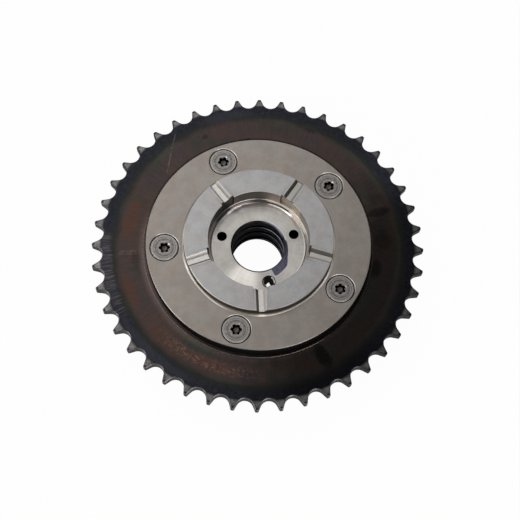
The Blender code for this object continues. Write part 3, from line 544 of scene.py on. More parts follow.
finishes = {
    "oxideFace": oxideFace("oxide_face"),
    "toothFace": toothFace("tooth_face"),
    "toothEdging": toothEdging("tooth_front_edge"),
    "toothWall": toothWall("tooth_wall"),
    # painted light on the sprocket's chamfer by the cover, brightest on the near side where the
    # cover's shadow falls
    "seatEdge": patched("seat_chamfer", (74, 66, 62), [
        (232, 52, 24, (196, 178, 170)), (294, 14, 16, (236, 214, 202)),
        (350, 36, 14, (84, 76, 70))], 0.1, 0.5),
    "coverFace": groundSteel("ground_cover", (131, 126, 121), (123, 117, 111), 0.42),
    # painted highlight on the cover's outer chamfer, on its left side
    "coverEdge": patched("turned_edge", (124, 118, 113), [
        (196, 40, 24, (162, 155, 148))], 1.0, 0.42),
    # painted shade: the cover's walls and countersinks near black, a little less on the far side
    "darkEdge": patched("shadowed_edge", (9, 8, 8), [
        (90, 60, 20, (14, 13, 12))], 0.0, 0.6),
    "screwDark": darkBore("screw_oxide", (58, 56, 54), (36, 35, 34), 0.4),
    "ringFace": groundSteel("ground_ring", (147, 147, 147), (137, 136, 136), 0.4, 0.004),
    # painted light and shade: each slot's flanks lighter or darker by the way they face
    "slotFlank": patched("slot_flank", (186, 182, 177), [
        (slotAngles[0] + 5, 4.5, 0.5, (104, 100, 94)),
        (slotAngles[1] + 5, 4.5, 0.5, (70, 67, 60)),
        (slotAngles[3] - 5, 4.5, 0.5, (212, 207, 201)),
        (slotAngles[3] + 5, 4.5, 0.5, (96, 88, 84)),
        (slotAngles[4] - 5, 4.5, 0.5, (82, 77, 71)),
        (slotAngles[4] + 5, 4.5, 0.5, (236, 230, 224))], 0.5, 0.38),
    # painted shade on the floors of the first two slots
    "slotFloor": patched("slot_floor", (190, 186, 181), [
        (slotAngles[0], 8, 1, (166, 161, 156)), (slotAngles[1], 8, 1, (154, 150, 144))],
        0.6, 0.38),
    "ringWall": ringSide("ring_side"),
    # painted highlights on the ring's chamfers, about 222° and 92°
    "ringEdge": patched("ring_edge", (142, 140, 137), [
        (222, 36, 26, (204, 200, 196)), (92, 40, 20, (196, 188, 184))]),
    "holeRim": holeRim("hole_rim", (127, 121, 116)),
    "recessWall": recessWall("recess_wall"),
    # painted light and shade round the recess's ledge: bright about 39° and 70°, dark about 93°
    # and 143°
    "ledge": patched("recess_ledge", (150, 144, 138), [
        (39, 14, 8, (236, 226, 215)), (70, 12, 6, (232, 220, 210)),
        (93, 6, 6, (84, 82, 78)), (143, 9, 8, (66, 64, 67))]),
    # painted highlights on the ledge's rim, and painted shade about 143°
    "ledgeRim": patched("ledge_rim", (150, 143, 136), [
        (38, 20, 12, (250, 240, 229)), (72, 13, 8, (255, 242, 230)),
        (116, 15, 6, (255, 238, 231)), (143, 9, 6, (110, 106, 102))], 0.15),
    # painted highlights and lines of painted shade along the ledge's inner edge
    "ledgeLine": patched("ledge_line", (150, 145, 139), [
        (37, 14, 6, (220, 211, 201)), (71, 14, 5, (9, 8, 8)),
        (95, 8, 6, (78, 76, 72)), (143, 11, 5, (20, 20, 26)),
        (166, 8, 8, (88, 84, 82)),
        (-4, 8, 5, (96, 74, 80)), (185, 7, 6, (104, 84, 84))], 0.2),
    # painted shade: the reliefs' side walls near black, with painted light about -4°
    "notch": patched("recess_notch", (22, 18, 18), [(-4, 14, 4, (130, 124, 118))], 0.5),
    # painted highlights along the seat's fillet
    "filletLine": patched("fillet_line", (152, 148, 143), [
        (44, 6, 8, (172, 160, 150)), (67, 15, 6, (255, 252, 247)),
        (92, 7, 6, (140, 138, 133)), (118, 15, 6, (182, 169, 165)),
        (126, 7, 5, (255, 248, 244))], 1.0, 0.3),
    "seat": seatFace("turned_seat", (152, 149, 144), (136, 132, 128)),
    # painted shade: the bore near black for the shade inside it
    "bore": darkBore("shaded_bore", (26, 26, 36), (13, 13, 21), 0.36),
    # painted highlight on the grooves' lips, about 34°
    "boreEdge": patched("bore_edge", (84, 84, 96), [(34, 30, 30, (224, 224, 240))], 0.5),
    # painted shade: a near-black strip and chamfer round the bore, with a painted highlight about
    # 56°
    "boreRim": patched("bore_rim", (12, 12, 15), [(56, 18, 20, (104, 104, 120))], 0.7),
    # painted shade: the grooves and the holes drilled in the seat near black
    "groove": darkBore("groove_black", (26, 26, 28), (14, 14, 16), 0.5),
    "pocket": pocketFace("pocket_slate"),
    "sinter": groundSteel("sintered_core", (150, 148, 146), (126, 124, 122), 0.46, 0.01),
    "pin": turnedSteel("ground_pin", (188, 186, 184), (166, 164, 162), 0.28),
    "spring": darkBore("spring_wire", (124, 120, 116), (92, 89, 86), 0.34),
    "seal": sealPlastic("seal_plastic"),
}
print("finishes: %d materials" % len(finishes))


# Mesh helpers


def gridMesh(name, points, heights, stripFinish=None, closeRows=True, closeColumns=True):
    # points: complex numbers x + iy in mm, rows by columns; faces join neighbours in the grid
    rows, columns = points.shape
    places = np.stack([points.real, points.imag, np.broadcast_to(heights, points.shape)], -1)
    row = np.arange(rows if closeRows else rows - 1)[:, None]
    column = np.arange(columns if closeColumns else columns - 1)[None, :]
    nextRow = (row + 1) % rows
    nextColumn = (column + 1) % columns
    corners = [row * columns + column, row * columns + nextColumn,
               nextRow * columns + nextColumn, nextRow * columns + column]
    quads = np.stack(np.broadcast_arrays(*corners), -1).reshape(-1, 4)
    mesh = bpy.data.meshes.new(name)
    mesh.vertices.add(points.size)
    mesh.vertices.foreach_set("co", (places * mm).ravel())
    mesh.loops.add(quads.size)
    mesh.loops.foreach_set("vertex_index", quads.ravel().astype(np.int32))
    mesh.polygons.add(len(quads))
    mesh.polygons.foreach_set("loop_start", np.arange(0, quads.size, 4, dtype=np.int32))
    if stripFinish is not None:
        finish = np.asarray(stripFinish, dtype=np.int32)[:len(row)]
        finish = np.broadcast_to(finish.reshape(len(row), -1), (len(row), column.size))
        mesh.polygons.foreach_set("material_index", finish.ravel())
    mesh.update(calc_edges=True)
    mesh.validate()
    return mesh


def weld(mesh, distance=0.002):
    # joins points that share a place, and turns the faces outwards
    cage = bmesh.new()
    cage.from_mesh(mesh)
    bmesh.ops.remove_doubles(cage, verts=cage.verts, dist=distance * mm)
    bmesh.ops.dissolve_degenerate(cage, edges=cage.edges, dist=distance * mm * 0.1)
    bmesh.ops.recalc_face_normals(cage, faces=cage.faces)
    cage.to_mesh(mesh)
    cage.free()
    return mesh


def lathed(name, profile, steps, stripFinish=None, closed=True):
    # profile of (radius, height) carried around Z
    radii, heights = np.array(profile, float).T
    turn = np.exp(1j * np.arange(steps) * fullTurn / steps)
    points = radii[:, None] * turn[None, :]
    return weld(gridMesh(name, points, heights[:, None], stripFinish, closeRows=closed))


def fanned(points, heights):
    # one more column at each end, gathered at its middle, so that a fan of faces closes it
    middle = points.mean(0)
    ends = np.ones((len(points), 1))
    points = np.concatenate([ends * middle[0], points, ends * middle[-1]], 1)
    heights = np.broadcast_to(heights, points.shape).copy()
    heights[:, [0, -1]] = heights[:, 1].mean()
    return points, heights


def moved(mesh, x, y, turn=0.0):
    mesh.transform(Matrix.Translation((x * mm, y * mm, 0)) @ Matrix.Rotation(turn, 4, "Z"))
    return mesh


def joined(name, meshes):
    cage = bmesh.new()
    for mesh in meshes:
        cage.from_mesh(mesh)
    made = bpy.data.meshes.new(name)
    cage.to_mesh(made)
    cage.free()
    return made


def linked(name, data):
    made = bpy.data.objects.new(name, data)
    bpy.context.scene.collection.objects.link(made)
    return made


def standing(name, mesh, materials):
    for key in materials:
        mesh.materials.append(finishes[key])
    return linked(name, mesh)


def cutAway(piece, cutters):
    # takes each cutter mesh out of the piece; new faces keep the cutter's finish number
    helpers = []
    for mesh in cutters:
        helper = linked(mesh.name, mesh)
        cut = piece.modifiers.new(mesh.name, "BOOLEAN")
        cut.operation = "DIFFERENCE"
        cut.solver = "EXACT"
        cut.object = helper
        helpers.append(helper)
    depsgraph = bpy.context.evaluated_depsgraph_get()
    depsgraph.update()
    shaped = bpy.data.meshes.new_from_object(piece.evaluated_get(depsgraph))
    piece.modifiers.clear()
    piece.data = shaped
    for helper in helpers:
        bpy.data.objects.remove(helper, do_unlink=True)


def settle(piece, body, slot, *nodes, sharp=32):
    piece.data.shade_smooth()
    piece.data.set_sharp_from_angle(angle=math.radians(sharp))
    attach(piece, body)
    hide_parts(*nodes)


def drillMesh(name, radius, low, high, place, finish=0, steps=40, rim=0.0):
    # round hole from high down to low, with a rim chamfer that opens at the top
    profile = [(0, low), (radius, low), (radius, high - rim), (radius + rim, high),
               (radius + rim, high + overrun), (0, high + overrun)]
    mesh = lathed(name, profile, steps, [finish] * len(profile), closed=False)
    return moved(mesh, *place)


# Sprocket and vane housing


def toothEdge(spec):
    # one half gap: an arc about the roller's centre, then the straight flank that leaves it at a
    # tangent, then the tip; mirrored, and turned once for each tooth
    halfPitch = math.pi / spec["teeth"]
    pitchRadius = spec["chainPitch"] / 2 / math.sin(halfPitch)
    tipRadius = pitchRadius + spec["tipAbovePitch"]
    centre = pitchRadius - spec["rootBelowPitch"] + spec["seatRadius"]
    tip = tipRadius * np.exp(1j * (halfPitch - spec["tipWidth"] / 2 / tipRadius))
    reach = tip - centre
    leave = np.angle(reach) + math.acos(spec["seatRadius"] / abs(reach))
    sweep = np.linspace(math.pi, leave, spec["seatPoints"])
    seat = centre + spec["seatRadius"] * np.exp(1j * sweep)
    along = (tip - seat[-1]) / abs(tip - seat[-1])
    flank = [seat[-1] + (tip - seat[-1]) / 2, tip - along * spec["tipCorner"]]
    crown = tipRadius * np.exp(1j * (np.angle(tip) + spec["tipCorner"] / tipRadius))
    half = np.concatenate([seat, flank, [crown, tipRadius * np.exp(1j * halfPitch)]])
    gap = np.concatenate([np.conj(half[:0:-1]), half[:-1]])
    turns = math.radians(spec["firstTip"]) + halfPitch * (2 * np.arange(spec["teeth"]) + 1)
    return (np.exp(1j * turns)[:, None] * gap[None, :]).ravel(), tipRadius


def makeSprocket():
    spec = sprocket
    outline, tipRadius = toothEdge(spec)
    along = np.roll(outline, -1) - np.roll(outline, 1)
    inset = outline + 1j * along / abs(along) * spec["edge"]
    way = np.exp(1j * np.angle(inset))
    beside = way * spec["creaseGuard"]
    front = sprocketFront
    back = front - spec["rimThickness"]
    start = spec["bevelStart"]
    thin = (spec["rimThickness"] - spec["tipThickness"]) / 2
    fall = thin / (tipRadius - start)

    def bevel(points):
        # how far the cone has dropped below the face at each point
        return np.maximum(abs(points) - start, 0) * fall

    crease = way * np.minimum(start, abs(inset) - spec["creaseInside"])
    off = (np.degrees(np.angle(outline)) - lobes["firstScrew"] + lobePitch / 2) % lobePitch
    inWeb = abs(off - lobePitch / 2) < spec["webHalf"]
    chamber = np.where(inWeb, spec["webTip"], lobes["chamberRadius"]) * way
    edge = spec["edge"]
    seat = spec["coverSeat"]
    fillet = spec["barrelFillet"]
    barrel = spec["barrelRadius"]
    # oxide face 0, tooth face 1, wall 2, front edge 3, seat chamfer 4
    rows = [
        (chamber, housingLow, 0), (chamber, lobes["chamberTop"], 0),
        (way * seat, lobes["chamberTop"], 0), (way * seat, front - spec["seatChamfer"], 4),
        (way * (seat + spec["seatChamfer"]), front, 0), (crease - beside, front, 0),
        (crease, front, 1),
        (inset, front - bevel(inset), 3), (outline, front - bevel(outline) - edge, 2),
        (outline, back + bevel(outline) * spec["backBevel"] + edge, 1),
        (inset, back + bevel(inset) * spec["backBevel"], 1),
        (crease, back, 0), (crease - beside, back, 0)]
    rows += [(way * (barrel + fillet * aside), back - fillet * down, 0)
             for aside, down in filletSteps]
    rows += [(way * barrel, housingLow + spec["barrelChamfer"], 0),
             (way * (barrel - spec["barrelChamfer"]), housingLow, 0)]
    points = np.stack([row[0] for row in rows])
    heights = np.stack([np.broadcast_to(row[1], outline.shape) for row in rows])
    mesh = weld(gridMesh("sprocket", points, heights, [row[2] for row in rows]), 0.001)
    piece = standing("sprocket", mesh, ["oxideFace", "toothFace", "toothWall", "toothEdging",
                                        "seatEdge"])
    holes = [drillMesh("screwWay", lobes["screwHole"], housingLow - overrun, lobes["chamberTop"],
                       place) for place in screwPlaces]
    cutAway(piece, [joined("screwWays", holes)])
    settle(piece, "housing", "oxide_steel", "sprocket_housing", sharp=24)


makeSprocket()
print("sprocket: teeth, bevel, barrel and chambers")

# Cover, its countersinks and screws

cover = {
    "holeRadius": 30.5,
    "holeBevel": 1.35,
    "holeDrop": 0.07,
    "chamfer": 0.22,
    "steps": 288,
}
screw = {
    "headRadius": 5.5,
    "shankRadius": 3.0,
    "land": 0.5,
    "sunk": 0.15,
    "edge": 0.18,
    "length": 25.0,
    "clearance": 0.36,
    "countersinkDrop": 0.144,
    "countersinkEdge": 0.24,
    "socketRadius": 1.95,
    "socketLobe": 0.32,
    "socketDepth": 2.2,
    "socketEdge": 0.12,
    "socketFloor": 0.94,        # share of the socket's width
    "middleRadius": 1.05,
    "middleRise": 1.3,
    "middleFlank": (0.3, 0.5),
    "tipChamfer": 0.6,
    "steps": 96,
    "turnEach": 40.1,           # degrees from one screw to the next
    # painted highlights at each socket's mouth: where, in degrees about its screw, and how
    # strongly
    "socketGlints": ((28, 0.5), (52, 0.8), (66, 0.6), (43, 0.6), (66, 0.3)),
}


def screwFace(name, centre, glint, strength):
    # rings about the screw's own axis, a lighter one by its edge and a painted highlight at its
    # socket
    skin = Finish(name, 0.9, 0.42, centre=centre)
    marks = skin.rings(0.55, 2.0)
    mottle = skin.noise(0.9, 3.0)
    colour = (marks * 0.65 + mottle * 0.35).rise(0.36, 0.64)
    colour = colour.blend((76, 72, 69), (136, 132, 129))
    colour = (skin.ringBand(4.8, 5.2, 0.2) * 0.4).blend(colour, (160, 156, 152))
    # painted highlight by the socket's mouth
    spot = skin.spot(glint, 2.3, 11, 0.38, (mottle - 0.5) * 0.5) * strength
    colour = spot.blend(colour, (250, 248, 248))
    return skin.paint(colour, marks * 0.1 + 0.36, marks, 0.01)


def makeCover():
    spec = cover
    edge = spec["chamfer"]
    hole = spec["holeRadius"]
    bevel = spec["holeBevel"]
    profile = [(hole + bevel, coverTop), (hole + bevel + guard, coverTop),
               (coverRadius - edge - guard, coverTop), (coverRadius - edge, coverTop),
               (coverRadius, coverTop - edge), (coverRadius, coverLow), (hole, coverLow),
               (hole, coverTop - spec["holeDrop"])]
    mesh = lathed("cover", profile, spec["steps"], [0, 0, 0, 1, 2, 0, 2, 3])
    names = ["coverFace", "coverEdge", "darkEdge", "holeRim"]
    for number, place in enumerate(screwPlaces):
        names.append("sinkRim%d" % (number + 1))
        # painted highlight on each countersink's rim, on its upper-right side
        finishes[names[-1]] = patched(names[-1], (132, 126, 121), [
            (62, 50, 30, (218, 210, 202))], centre=place)
    piece = standing("cover", mesh, names)
    wide = screw["headRadius"] + screw["clearance"]
    narrow = screw["shankRadius"] + screw["clearance"]
    land = coverTop - screw["sunk"] - screw["land"] - screw["countersinkDrop"]
    lead = screw["countersinkEdge"]
    low, high = coverLow - overrun, coverTop + overrun
    sink = [(0, low), (narrow, low), (narrow, land - wide + narrow), (wide, land),
            (wide, coverTop - lead), (wide + lead, coverTop), (wide + lead, high), (0, high)]
    sinks = [moved(lathed("countersink", sink, screw["steps"],
                          [2, 2, 2, 2, 4 + number, 2, 2, 2], closed=False), *place)
             for number, place in enumerate(screwPlaces)]
    cutAway(piece, [joined("countersinks", sinks)])
    settle(piece, "housing", "ground_steel", "cam_side_cover")


def makeScrew(number):
    # head, cone and shank are circles; the socket's outline is a circle plus a cosine of six
    # times the angle, and rows between the two pass from one to the other
    spec = screw
    count = spec["steps"]
    spin = np.arange(count) * fullTurn / count
    way = np.exp(1j * spin)
    lobed = (spec["socketRadius"] + spec["socketLobe"] * np.cos(6 * spin)) * way
    top = coverTop - spec["sunk"]
    floor = top - spec["socketDepth"]
    middle = floor + spec["middleRise"] - guard
    head = spec["headRadius"]
    shank = spec["shankRadius"]
    edge = spec["edge"]
    low = top - spec["length"]
    tip = spec["tipChamfer"]
    flankOut, flankDown = spec["middleFlank"]
    rows = [
        (way * 0, floor + spec["middleRise"], 3), (way * spec["middleRadius"], middle, 3),
        (way * (spec["middleRadius"] + flankOut), middle - flankDown, 1),
        (lobed * spec["socketFloor"], floor, 1), (lobed, floor + guard, 1),
        (lobed, top - spec["socketEdge"], 0), (lobed + way * spec["socketEdge"], top, 0),
        (way * (head - edge - guard), top, 0), (way * (head - edge), top, 2),
        (way * head, top - edge, 1),
        (way * head, top - spec["land"], 1), (way * shank, top - spec["land"] - head + shank, 1),
        (way * shank, low + tip, 1), (way * (shank - tip), low, 1), (way * 0, low, 1)]
    points = np.stack([row[0] for row in rows])
    heights = np.array([row[1] for row in rows])[:, None]
    mesh = gridMesh("screw", points, heights, [row[2] for row in rows], closeRows=False)
    place = screwPlaces[number]
    turn = math.radians(screwAngles[number] + number * spec["turnEach"])
    face, rim, socket = ("screw%s%d" % (what, number + 1) for what in ("Face", "Rim", "Socket"))
    finishes[face] = screwFace(face, place, *spec["socketGlints"][number])
    # painted highlight on the head's edge, on its lower-left side
    finishes[rim] = patched(rim, (124, 119, 114), [
        (235, 62, 30, (206, 200, 193))], centre=place)
    # the socket's middle, with painted light on its lower-right side
    finishes[socket] = patched(socket, (52, 48, 46), [
        (330, 60, 60, (96, 92, 89))], 0.5, 0.5, place)
    piece = standing("screw_%d" % (number + 1), moved(weld(mesh), *place, turn),
                     [face, "screwDark", rim, socket])
    settle(piece, "housing", "screw_steel", "cover_screw_%d" % (number + 1))


makeCover()
for number in range(lobes["count"]):
    makeScrew(number)
print("cover: countersunk plate and five screws")

# Rotor: hub ring, camshaft seat, bore and vanes

hub = {
    "ringRadius": 30.3,
    "ringChamfer": 0.25,
    "recessEdge": 0.12,
    "recessRadius": 20.5,
    "ledgeRadius": 19.5,
    "ledgeAboveSeat": 1.25,
    "recessDepth": 8.95,
    "ledgeRim": 0.2,
    "seatFillet": 0.4,
    "boreRadius": 10.75,
    "boreChamfer": 0.38,
    "grooveWidth": 2.3,
    "grooveDepth": 1.2,
    "grooveLip": 0.18,
    "grooveHeights": (16.1, 10.0, 3.9),
    "farRadius": 20.0,
    "farChamfer": 0.5,
    "farEase": 0.6,             # at the bore's far end
    "seatGuard": 0.8,           # mm inside the ledge, to the row that keeps the seat flat
    "evenInside": 2.0,          # mm inside the ledge, where the columns become even
    "boreRim": 0.2,
    "slotTop": 3.8,
    "slotFloor": 1.9,
    "slotDepth": 1.7,
    "slotEdge": 0.12,
    "reliefWidth": 6.0,
    "reliefDepth": 0.85,
    "reliefAboveLedge": 0.3,
    "reliefRows": (3, 4, 5),    # the recess's wall, from its edge to the relief's floor
    "reliefSplit": 0.001,       # mm to each side, between the two columns at its flank
    "between": 62,              # columns from one slot to the next
    "vaneHalves": (11.0, 7.0, 7.0, 7.0, 7.0),
    "portCircle": 15.5,
    "dowelCircle": 15.95,
    "ports": (169.0, 24.7),
    "portRadius": 1.9,
    "portDepth": 5.0,
    "holeRim": 0.15,
    "dowelAngle": -70.0,
    "dowelRadius": 2.7,
    "dowelDepth": 6.0,
    "dowelRim": 0.05,
    "dowelSteps": 64,
    "pinBore": 4.0,
    "pocketDepth": 0.5,
    "pocketSteps": 60,
    "pocketEnd": -57.5,
    # corners of the pocket beside the bore: mm beyond the bore, and degrees
    "pocketCorners": ((0.2, 25.5), (1.1, 14.5), (1.4, 1.0), (2.0, -16.0), (3.6, -31.0),
                      (3.7, -44.0), (3.9, -54.5), (3.3, -58.5)),
}
dowelPlace = onCircle(hub["dowelCircle"], hub["dowelAngle"])
hubFinishes = ["ringFace", "ringEdge", "ringWall", "slotFlank", "slotFloor", "recessWall",
               "notch", "ledge", "ledgeRim", "ledgeLine", "filletLine", "seat", "bore", "boreEdge",
               "boreRim", "groove", "pocket", "sinter"]
finishAt = {key: number for number, key in enumerate(hubFinishes)}


def hubColumns(spec):
    # offsets across each slot that keep their distance from its middle line at every radius
    half = spec["slotTop"] / 2
    relief = spec["reliefWidth"] / 2
    split = spec["reliefSplit"]
    right = [spec["slotFloor"] / 2, half, half + spec["slotEdge"], relief - split, relief + split]
    return np.array([-offset for offset in reversed(right)] + right)


def makeHub():
    spec = hub
    across = hubColumns(spec)
    inSlot = len(across)
    perLobe = inSlot + spec["between"]
    slotTurn = np.radians(np.array(slotAngles))[:, None]
    share = np.arange(1, spec["between"] + 1) / (spec["between"] + 1)

    def alongSlots(radius):
        # columns stay parallel to each slot near it and fan out between slots
        lean = np.arcsin(across / radius)
        fan = lean[-1] + (math.radians(lobePitch) + lean[0] - lean[-1]) * share
        return (slotTurn + np.concatenate([lean, fan])[None, :]).ravel()

    even = (np.arange(perLobe) - (inSlot - 1) / 2) * math.radians(lobePitch) / perLobe
    evenTurn = (slotTurn + even[None, :]).ravel()
    # vane wheel: the flanks are two columns at one angle
    vaneTurn = evenTurn.copy()
    wheel = np.full(vaneTurn.shape, lobes["coreRadius"])
    for k, half in enumerate(spec["vaneHalves"]):
        middle = slotAngles[k] + lobes["vaneFromSlot"]
        low, high = math.radians(middle - half), math.radians(middle + half)
        first = np.searchsorted(evenTurn, low)
        last = np.searchsorted(evenTurn, high)
        vaneTurn[first - 1:first + 1] = low
        vaneTurn[last - 1:last + 1] = high
        wheel[first:last] = lobes["chamberRadius"] - lobes["gap"]

    floorHalf = spec["slotFloor"] / 2
    topHalf = spec["slotTop"] / 2
    depth = np.interp(abs(across), [floorHalf, topHalf, topHalf + spec["slotEdge"]],
                      [spec["slotDepth"], spec["slotEdge"], 0])
    cap = np.full((lobes["count"], perLobe), np.inf)
    cap[:, :inSlot] = ringFace - depth[None, :]
    cap = cap.ravel()
    relief = np.zeros((lobes["count"], perLobe))
    relief[:, 1:inSlot - 1] = spec["reliefDepth"]
    relief = relief.ravel()

    seat = ringFace - spec["recessDepth"]
    ledge = seat + spec["ledgeAboveSeat"]
    step = ledge + spec["reliefAboveLedge"]
    ring, wall, inner = spec["ringRadius"], spec["recessRadius"], spec["ledgeRadius"]
    cut, fillet, bore = spec["ringChamfer"], spec["seatFillet"], spec["boreRadius"]
    far, farCut = spec["farRadius"], spec["farChamfer"]
    rim, lip, ease = spec["ledgeRim"], spec["grooveLip"], spec["recessEdge"]
    top = lobes["chamberTop"]
    # rows of (radius, height, finish of the strip that follows), by the columns they use
    slotRows = [
        (ring, top, "ringWall"), (ring, ringFace - cut, "ringEdge"),
        (ring - cut, ringFace, "ringFace"), (wall + ease, ringFace, "ringEdge"),
        (wall, ringFace - ease, "recessWall"), (wall, step, "recessWall"),
        (wall, step, "recessWall"), (wall, ledge + rim, "ledgeRim"), (wall - rim, ledge, "ledge"),
        (inner + rim, ledge, "ledgeLine"), (inner, ledge - rim, "ledgeLine")]
    slotRows += [(inner - fillet * inward, seat + fillet * up,
                  "filletLine" if inward else "ledgeLine") for up, inward in filletSteps]
    slotRows.append((inner - spec["seatGuard"], seat, "seat"))
    chamfer = bore + spec["boreChamfer"]
    evenRows = [(inner - spec["evenInside"], seat, "seat"),
                (chamfer + spec["boreRim"], seat, "boreRim"), (chamfer, seat, "boreRim"),
                (bore, seat - spec["boreChamfer"], "bore")]
    deep = bore + spec["grooveDepth"]
    for middle in spec["grooveHeights"]:
        high, low = middle + spec["grooveWidth"] / 2, middle - spec["grooveWidth"] / 2
        evenRows += [(bore, high + lip, "boreEdge"), (bore + lip, high, "groove"),
                     (deep, high, "groove"), (deep, low, "groove"), (bore + lip, low, "boreEdge"),
                     (bore, low - lip, "bore")]
    boreCut = spec["farEase"]
    evenRows += [(bore, hubLow + boreCut, "bore"), (bore + boreCut, hubLow, "sinter"),
                 (far - farCut, hubLow, "sinter"), (far, hubLow + farCut, "sinter"),
                 (far, housingLow, "sinter")]
    vaneRows = [(wheel, housingLow, "sinter"), (wheel, top, "sinter")]
    points, heights = [], []
    for number, (radius, height, finish) in enumerate(slotRows):
        turn = alongSlots(radius)
        # in front of each slot the recess's wall stands further out, over its upper rows
        points.append((radius + relief * (number in spec["reliefRows"])) * np.exp(1j * turn))
        heights.append(np.minimum(height, cap))
    for turn, group in ((evenTurn, evenRows), (vaneTurn, vaneRows)):
        for radius, height, finish in group:
            points.append(radius * np.exp(1j * turn))
            heights.append(np.full(turn.shape, height))
    rows = slotRows + evenRows + vaneRows
    # the slots and reliefs have finishes of their own, in the strips across the ring's face
    # and in those down its recess
    finish = np.array([finishAt[row[2]] for row in rows])[:, None]
    finish = np.repeat(finish, vaneTurn.size, 1).reshape(len(rows), lobes["count"], perLobe)
    finish[1:4, :, 2:inSlot - 3] = finishAt["slotFlank"]
    finish[1:4, :, inSlot // 2 - 1] = finishAt["slotFloor"]
    finish[3:6, :, [0, inSlot - 2]] = finishAt["notch"]
    mesh = gridMesh("hub", np.stack(points), np.stack(heights), finish.reshape(len(rows), -1))
    piece = standing("rotor_hub", weld(mesh, 0.001), hubFinishes)
    cuts = [drillMesh("port", spec["portRadius"], seat - spec["portDepth"], seat,
                      onCircle(spec["portCircle"], angle), finishAt["groove"], rim=spec["holeRim"])
            for angle in spec["ports"]]
    cuts.append(drillMesh("dowelHole", spec["dowelRadius"], seat - spec["dowelDepth"], seat,
                          dowelPlace, finishAt["groove"], spec["dowelSteps"],
                          spec["dowelRim"]))
    cuts.append(drillMesh("pinBore", spec["pinBore"], housingLow - overrun, top, lockPinPlace,
                          finishAt["sinter"]))
    cutAway(piece, [joined("hubHoles", cuts), pocketMesh(seat)])
    settle(piece, "rotor", "sintered_steel", "rotor", sharp=26)


def pocketMesh(seat):
    # the outline sits at a radius for each angle; the cutter reaches back inside the bore
    bore = hub["boreRadius"]
    beyond, degrees = np.array(hub["pocketCorners"][::-1]).T
    turn = np.linspace(hub["pocketCorners"][0][1], hub["pocketEnd"], hub["pocketSteps"])
    way = np.exp(1j * np.radians(turn))
    outer = (bore + np.interp(turn, degrees, beyond)) * way
    within = (bore - overrun) * way
    low, high = seat - hub["pocketDepth"], seat + overrun
    points, heights = fanned(np.stack([outer, outer, within, within]),
                             np.array([low, high, high, low])[:, None])
    return weld(gridMesh("pocket", points, heights, [finishAt["pocket"]] * 4, closeColumns=False))


makeHub()
print("rotor: ring, slots, recess, seat, bore and vanes")

# Dowel pin

dowel = {
    "wall": 0.75,
    "clearance": 0.06,
    "sunk": 0.12,
    "chamfer": 0.3,
    "slot": 0.9,
    "slotTurn": -28.0,
    "hollow": 0.5,
    "plugGap": 0.02,
    "plugRaised": 1.0,
    "plugSteps": 48,
}


def makeDowel():
    # a rectangle with eased corners carried round most of a turn; the slot's faces are fans
    spec = dowel
    seat = ringFace - hub["recessDepth"]
    outer = hub["dowelRadius"] - spec["clearance"]
    inner = outer - spec["wall"]
    high = seat - spec["sunk"]
    low = seat - hub["dowelDepth"] + spec["clearance"]
    cut = spec["chamfer"]
    profile = np.array([(outer - cut, high), (outer, high - cut), (outer, low), (inner, low),
                        (inner, high - cut), (inner + cut, high)])
    radii, heights = profile[:, :1], profile[:, 1:]
    half = math.asin(spec["slot"] / 2 / outer)
    turn = np.linspace(half, fullTurn - half, hub["dowelSteps"])
    points, heights = fanned(radii * np.exp(1j * turn)[None, :], heights)
    tube = weld(gridMesh("dowelTube", points, heights, closeColumns=False))
    # a plug that shows inside it, painted near black for the shade in the pin, with a painted
    # highlight on its lower side
    reach = inner - spec["plugGap"]
    plugLow, plugHigh = low + spec["plugRaised"], high - spec["hollow"]
    plug = lathed("dowelPlug", [(0, plugLow), (reach, plugLow), (reach, plugHigh), (0, plugHigh)],
                  spec["plugSteps"], [1] * 4, closed=False)
    slotTurn = math.radians(spec["slotTurn"])
    mesh = joined("dowel", [tube, moved(plug, 0, 0, -slotTurn)])
    finishes["dowelPlug"] = patched("dowel_plug", (14, 13, 13), [
        (-96, 34, 8, (255, 253, 250))], 0.9, 0.5, dowelPlace)
    # the pin's end: dark, with painted highlights on its lower and upper-right sides, brown-grey
    # to the left
    finishes["dowelEnd"] = patched("dowel_end", (26, 25, 26), [
        (198, 26, 20, (130, 118, 110)), (-84, 24, 10, (250, 248, 246)),
        (30, 32, 10, (244, 244, 242))], 0.4, 0.34, dowelPlace)
    piece = standing("dowel_pin", moved(mesh, *dowelPlace, slotTurn), ["dowelEnd", "dowelPlug"])
    settle(piece, "rotor", "spring_steel", "cam_dowel_pin")


makeDowel()
print("dowel: slotted spring pin")

# Far plate

farPlate = {
    "hole": 20.3,
    "chamfer": 1.0,
    "steps": 240,
    "bushRadius": 5.35,
    "bushFloor": 1.0,
    "ventRadius": 1.2,
}


def makeFarPlate():
    spec = farPlate
    cut = spec["chamfer"]
    hole = spec["hole"]
    profile = [(hole + cut / 2, plateTop), (plateRadius, plateTop), (plateRadius, plateLow + cut),
               (plateRadius - cut, plateLow), (hole + cut / 2, plateLow),
               (hole, plateLow + cut / 2), (hole, plateTop - cut / 2)]
    mesh = lathed("farPlate", profile, spec["steps"], [0, 1, 1, 0, 1, 1, 1])
    piece = standing("far_plate", mesh, ["coverFace", "coverEdge", "screwDark"])
    low = plateLow - overrun
    holes = [drillMesh("screwEnd", lobes["screwHole"], low, plateTop, place, 2)
             for place in screwPlaces]
    holes.append(drillMesh("bushPocket", spec["bushRadius"], spec["bushFloor"], plateTop,
                           lockPinPlace, 2))
    vent = drillMesh("bushVent", spec["ventRadius"], low, plateTop, lockPinPlace, 2)
    cutAway(piece, [joined("plateHoles", holes), vent])
    settle(piece, "housing", "plate_steel", "front_plate")


makeFarPlate()
print("far plate: screw ends, bush pocket and vent")

# Hidden pieces keep their solids and get their finishes

